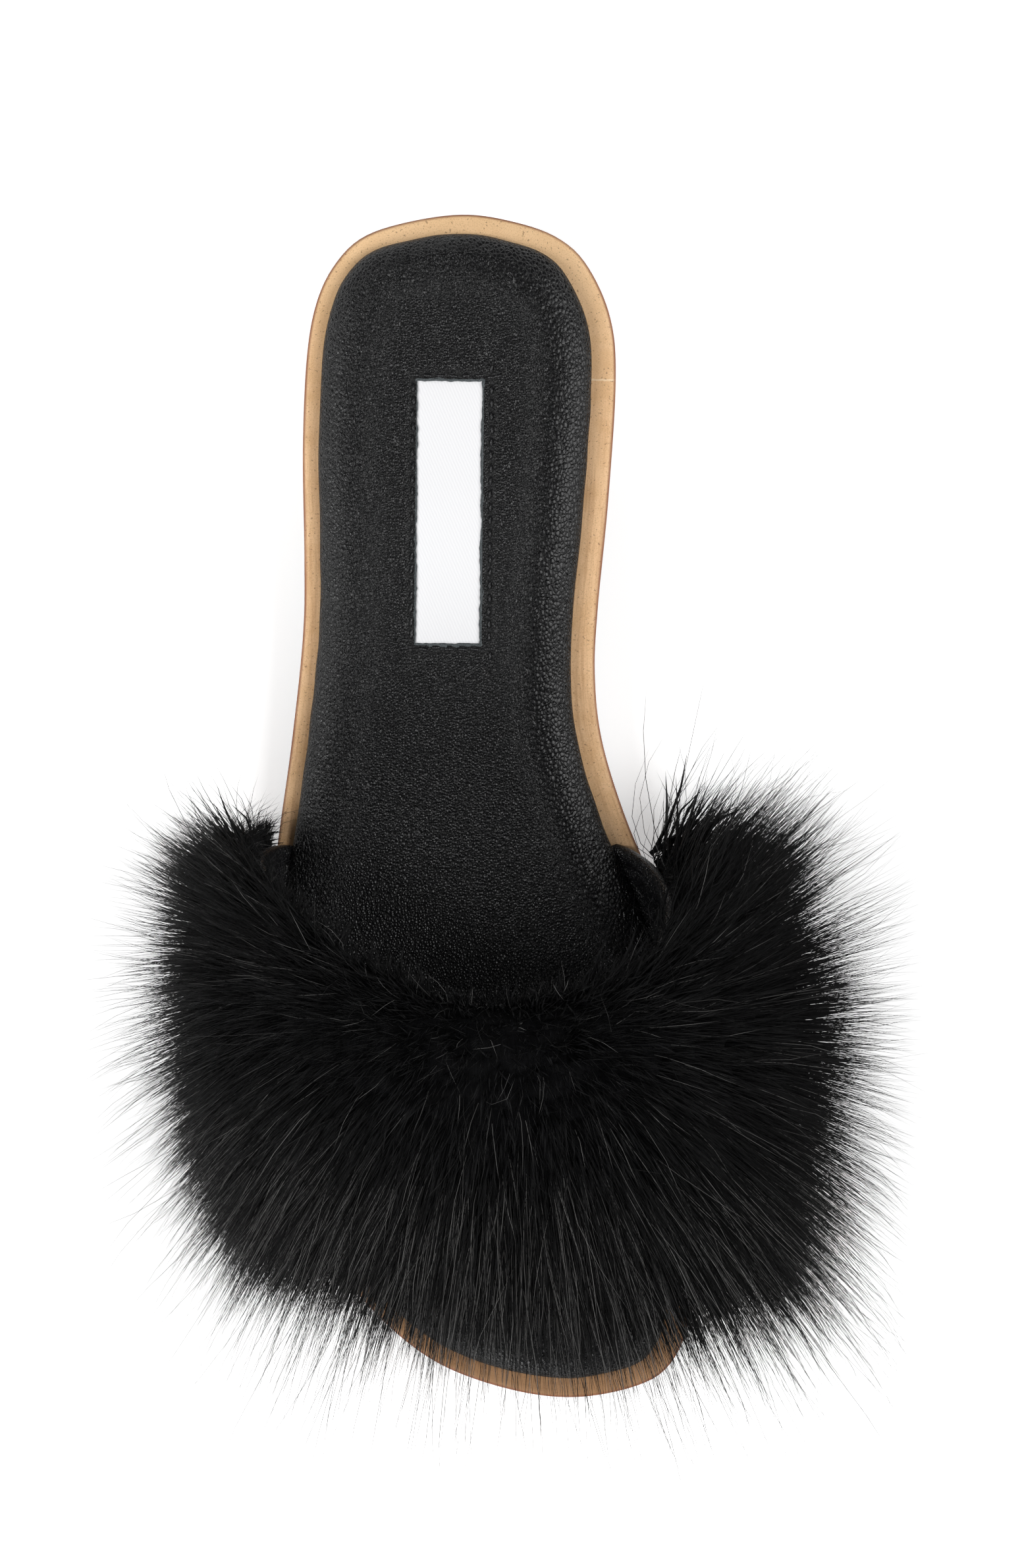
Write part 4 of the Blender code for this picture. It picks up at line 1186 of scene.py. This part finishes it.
def needles(lines, radius, taper):
    """Points and faces of closed three-sided needles. The radius falls with (1 - s**taper)**0.6."""
    count, steps, _ = lines.shape
    ahead = unit(np.gradient(lines, axis=1))
    aside = unit(np.cross(ahead, np.array([0.31, 0.52, 0.79])))
    upright = np.cross(aside, ahead)
    s = np.linspace(0, 1, steps)[:-1]
    girth = radius[:, None] * ((1 - s**taper) ** 0.6)[None]
    angle = 2 * np.pi * np.arange(3) / 3
    ring = np.cos(angle)[:, None] * aside[:, :-1, None] + np.sin(angle)[:, None] * upright[:, :-1, None]
    rings = lines[:, :-1, None] + ring * girth[:, :, None, None]
    points = np.concatenate([rings.reshape(count, -1, 3), lines[:, -1:]], 1)
    each = points.shape[1]
    first = np.arange(count)[:, None, None] * each
    quads = first + grid_quads(steps - 1, 3, around=True)
    tip, last = each - 1, (steps - 2) * 3
    ends = np.array([(2, 1, 0), (last, last + 1, tip), (last + 1, last + 2, tip), (last + 2, last, tip)])
    return points, [quads.reshape(-1, 4), (first + ends).reshape(-1, 3)]


def needle_piece(name, lines, radius, taper, rng, glint_share=0.05):
    """A piece of needles. Every needle carries one tone, and its corner, step and number for the streaks.

    The last argument is the share of needles with a tone over 0; theirs runs up to 1. The finish paints these
    needles grey, as glints."""
    points, faces = needles(within_room(lines), radius, taper)
    count, each = points.shape[:2]
    tone = np.repeat(np.clip(1 - rng.random(count) / glint_share, 0, 1), each)
    corner, step = np.arange(each) % 3, np.arange(each) // 3
    lay = np.stack(np.broadcast_arrays(corner[None] * 1.0, step[None] * 0.12, np.arange(count)[:, None]), -1)
    piece = new_piece(name, points, faces, tone=tone, lay=lay)
    print(name, "needles", count, "triangles", sum(len(block) * (block.shape[1] - 2) for block in faces))
    return piece


# %% [markdown]
# ## Locks and guard hairs
# Hairs of a pile stick together in pointed locks a few millimetres apart, which make the dense black edge.
# Thick needles stand for the locks' cores. Over them lie layers of single hairs, finer and longer from
# layer to layer. Some of them stray from their lock and stand out as the thin halo round the fur.

# %% Growing the fur
FAN_REACH = 26 * MM
DROOP = np.array([0, 0, -0.22])


def flow_lines(turn, share, length, chance, steps):
    """Lines that start along the normal and bend to the combing direction.

    They also fan out from one centre, fully from FAN_REACH on, and their tips droop."""
    normal = band_normal(turn, share)
    root = band_inner(turn, share) + normal * (FUR_BASE + 0.5 * MM)
    fan = root[:, :2] - FAN_CENTRE
    fan = fan / np.maximum(np.linalg.norm(fan, axis=1), FAN_REACH)[:, None]
    fan = np.concatenate([fan, np.zeros((len(fan), 1))], 1)
    first = fur_way(turn, share, normal, 0.45) + 0.15 * fan + chance[0]
    last = fur_way(turn, share, normal, 1.45) + 0.5 * fan + DROOP + chance[1]
    return bent_lines(root, first, last, length, steps)


GLINT_HAIRS = (0.05, 0.25)
LOCK_CHANCE = 0.16
HAIR_CHANCE = 0.13
HAIR_STRAY = 2.2 * MM
SIDE_LOCKS, FRONT_LOCKS, REAR_SIDE_LOCKS = 0.9, 1.4, 4
TOP_TANGLE, REAR_SIDE_TANGLE = 3, 3.5


def fur_layer(name, count, seed, reach, girth, steps=5, clump=0.5, wild_share=0.0, taper=1.6, front=0.0):
    """One layer of needles in locks.

    Each needle belongs to a lock and grows near its centre. The further out, the more it is drawn to the
    lock's own line: by clump times s to the power 1.5. There are more hairs at the sides, in front and at
    the sides' rear edge. They lie more tangled at the rear, on top and at the sides. A wild hair is
    longer, strays twice as far and is drawn little to its lock. front lengthens all of them with the
    square of the share. Grey hairs, which are painted glints, are most frequent in front, on the lateral
    side."""
    rng = np.random.default_rng(seed)
    lock_turn, lock_share = tuft_places(15, 34, seed + 1)
    weight = 1 + SIDE_LOCKS * sideways(lock_turn) + FRONT_LOCKS * lock_share**2
    weight = weight + REAR_SIDE_LOCKS * sideways(lock_turn) * (lock_share < 0.12)
    member = rng.choice(len(lock_turn), count, p=weight / weight.sum())
    turn = np.clip(lock_turn[member] + rng.normal(0, HAIR_STRAY, count) / OVER_BAND, 0.022, 0.978)
    share = np.clip(lock_share[member] + rng.normal(0, HAIR_STRAY, count) / ALONG_BAND, 0.0, 1.0)
    lock_reach = reach * rng.uniform(0.8, 1.14, len(lock_turn))
    wild = rng.random(count) < wild_share
    length = fur_depth(turn, share) * lock_reach[member] * rng.uniform(0.72, 1.1, count)
    length = np.where(wild, length * rng.uniform(1.1, 1.5, count), length) * (1 + front * share**2)
    tangle = 1 + TOP_TANGLE * (1 - sideways(turn)) * np.clip(1 - share / 0.7, 0, 1)
    tangle = tangle + REAR_SIDE_TANGLE * sideways(turn) * np.clip(1 - share / 0.15, 0, 1)
    spread = (np.where(wild, 2 * HAIR_CHANCE, HAIR_CHANCE) * tangle)[:, None]
    lines = flow_lines(turn, share, length, rng.normal(0, 1, (2, count, 3)) * spread, steps)
    own = flow_lines(lock_turn, lock_share, fur_depth(lock_turn, lock_share) * lock_reach,
                     rng.normal(0, LOCK_CHANCE, (2, len(lock_turn), 3)), steps)
    pull = np.where(wild, 0.1, clump * rng.uniform(0.5, 1.2, count)) / tangle
    lines = lines + (own[member] - lines) * (pull[:, None] * np.linspace(0, 1, steps) ** 1.5)[..., None]
    # Painted highlights: grey needles stand in for the glints of the lamp beyond the toe, so they are most
    # frequent in front on the lateral side.
    to_front, to_lateral = smoothstep((share - 0.35) / 0.4), smoothstep(turn / 0.6)
    glint_share = GLINT_HAIRS[0] + GLINT_HAIRS[1] * to_front * (0.35 + 0.65 * to_lateral)
    glint_share = np.where(wild, 2 * glint_share, glint_share)
    return needle_piece(name, lines, girth * rng.uniform(0.65, 1.2, count), taper, rng, glint_share)


THROAT_TUFTS = 80
LONG_TUFT_AT = 0.66


def throat_layer(name, count, seed, reach, girth, steps=4, taper=1.6):
    """Short needles at the rear edge. They rise from the band, bend back over its bead and droop inwards.

    They stand in small tufts, longer on the lateral side and longest near LONG_TUFT_AT. There are none at
    the medial root and few near it, so the lining's edge shows there."""
    rng = np.random.default_rng(seed)
    tuft_turn = 1.0 - 0.96 * rng.random(THROAT_TUFTS) ** 1.5
    tuft_reach = rng.uniform(0.6, 1.25, THROAT_TUFTS) * (1 + 0.8 * smoothstep((tuft_turn - 0.6) / 0.25))
    tuft_reach = tuft_reach * (1 + 0.7 * np.exp(-(((tuft_turn - LONG_TUFT_AT) / 0.05) ** 2)))
    member = rng.integers(0, THROAT_TUFTS, count)
    turn = np.clip(tuft_turn[member] + rng.normal(0, 0.012, count), 0.05, 0.99)
    share = rng.uniform(0.0, 0.07, count)
    normal = band_normal(turn, share)
    root = band_inner(turn, share) + normal * (BAND_WALL + 0.4 * MM)
    chance = rng.normal(0, 1, (2, count, 3))
    first = 0.8 * normal + np.array([0, 0.5, 0]) + 0.25 * chance[0]
    side = sideways(turn)[:, None]
    last = -(0.5 + 0.7 * side) * normal + (0.95 - 0.5 * side) * np.array([0, 1, 0]) + 0.4 * chance[1]
    length = reach * tuft_reach[member] * rng.uniform(0.6, 1.2, count)
    lines = bent_lines(root, first, last, length, steps)
    return needle_piece(name, lines, girth * rng.uniform(0.65, 1.2, count), taper, rng)


# %% Fur finishes and layers
def lock_finish():
    f = Finish("black_fur_lock", (0.002, 0.002, 0.0022), 0.6, Specular_IOR_Level=0.15)
    streak = f.noise(1.0, f.vector("lay", (3.1, 0.9, 7.3)), detail=3)
    f.set("Base Color", f.mix(f.span(streak, 0.45, 0.75), (0.001, 0.001, 0.0012), (0.006, 0.006, 0.007)))
    f.set("Normal", f.bump(streak, 0.25 * MM, 0.9))
    return f


def hair_finish():
    f = Finish("black_guard_hair", (0.004, 0.004, 0.0045), 0.4, Specular_IOR_Level=0.2)
    tone = f.value("tone")
    # Painted glints: needles with a tone over 0 are coloured grey, up to 0.15, in place of highlights on
    # black hair.
    f.set("Base Color", f.mix(f.span(tone, 0.0, 1.0), (0.0012, 0.0012, 0.0014), (0.15, 0.147, 0.143)))
    f.set("Roughness", f.span(tone, 0, 0.5, 0.5, 0.34))
    return f


LOCK_FINISH, HAIR_FINISH = lock_finish(), hair_finish()
LAYERS = [
    (fur_layer("fur_locks", 6400, 23, 1.32, 0.52 * MM, steps=4, clump=0.25, taper=1.2), LOCK_FINISH),
    (fur_layer("guard_hairs_inner", 10500, 31, 1.5, 0.12 * MM, steps=4, clump=0.5), HAIR_FINISH),
    (fur_layer("guard_hairs_middle", 8200, 47, 1.75, 0.1 * MM, clump=0.5, wild_share=0.03), HAIR_FINISH),
    (fur_layer("guard_hairs_outer", 6400, 59, 1.95, 0.085 * MM, clump=0.5, wild_share=0.08, front=0.15),
     HAIR_FINISH),
    (fur_layer("guard_hairs_wisps", 3600, 73, 2.2, 0.06 * MM, clump=0.3, wild_share=0.35, front=0.4),
     HAIR_FINISH),
    (throat_layer("throat_locks", 1200, 83, 6.5 * MM, 0.4 * MM, taper=1.2), LOCK_FINISH),
    (throat_layer("throat_hairs", 3200, 97, 9 * MM, 0.075 * MM), HAIR_FINISH),
]
for layer, finish in LAYERS:
    dress(layer, finish, "long_fur")

# %% [markdown]
# ## Camera
# The photo looks straight down, with the toe at the bottom of the page. The camera hangs over the middle of
# the page with a long lens, so the fur on top of the band is only a little larger than the sole below it.

# %% Camera
PAGE_HEIGHT = 331.8 * MM
CAMERA_DISTANCE = 1.1
SOLE_LEVEL = 16 * MM
camera_data = bpy.data.cameras.new("page_camera")
camera_data.sensor_width = 36
camera_data.lens = 36 * CAMERA_DISTANCE / PAGE_HEIGHT
camera = bpy.data.objects.new("page_camera", camera_data)
camera.location = (10.9 * MM, -90.0 * MM, SOLE_LEVEL + CAMERA_DISTANCE)
bpy.context.scene.collection.objects.link(camera)
bpy.context.scene.camera = camera
print("lens", round(camera_data.lens, 1))

# %% [markdown]
# ## Floor and light
# The page is pure white with hardly a shadow. So the white floor glows a little, and a dim white world
# lights everything evenly. Three lamps stand well to the side, so that they light the fur and the insole's
# shoulders and leave its level middle dark: a narrow one to the left, a wide one to the right, and one
# beyond the toe for the gloss on the hairs in front.

# %% Floor, lamps and world
floor_mesh = bpy.data.meshes.new("floor")
floor_mesh.from_pydata([(-3, -3, 0), (3, -3, 0), (3, 3, 0), (-3, 3, 0)], [], [(0, 1, 2, 3)])
floor = bpy.data.objects.new("floor", floor_mesh)
bpy.context.scene.collection.objects.link(floor)
pale = Finish("pale_floor", (0.92, 0.92, 0.92), 0.9, Specular_IOR_Level=0.1)
pale.shader.inputs["Emission Color"].default_value = (1, 1, 1, 1)
pale.shader.inputs["Emission Strength"].default_value = 0.42
floor_mesh.materials.append(pale.material)


LIT_PLACE = Vector((0, -0.1, 0.02))


def lamp(name, place, width, height, power):
    """A flat lamp that faces the middle of the shoe. Sizes are in metres, power in watts."""
    data = bpy.data.lights.new(name, "AREA")
    data.shape, data.size, data.size_y, data.energy = "RECTANGLE", width, height, power
    made = bpy.data.objects.new(name, data)
    made.location = place
    made.rotation_euler = (LIT_PLACE - Vector(place)).to_track_quat("-Z", "Y").to_euler()
    bpy.context.scene.collection.objects.link(made)


lamp("left_side", (-1.25, -0.1, 1.15), 0.28, 1.3, 14)
lamp("right_side", (1.15, -0.1, 1.25), 1.2, 1.5, 24)
lamp("toe_side", (-0.9, -1.35, 0.95), 1.3, 0.6, 17)
world = bpy.data.worlds.new("studio")
world.use_nodes = True
world.node_tree.nodes["Background"].inputs["Color"].default_value = (1, 1, 1, 1)
world.node_tree.nodes["Background"].inputs["Strength"].default_value = 0.13
bpy.context.scene.world = world
bpy.context.scene.view_settings.view_transform = "Standard"
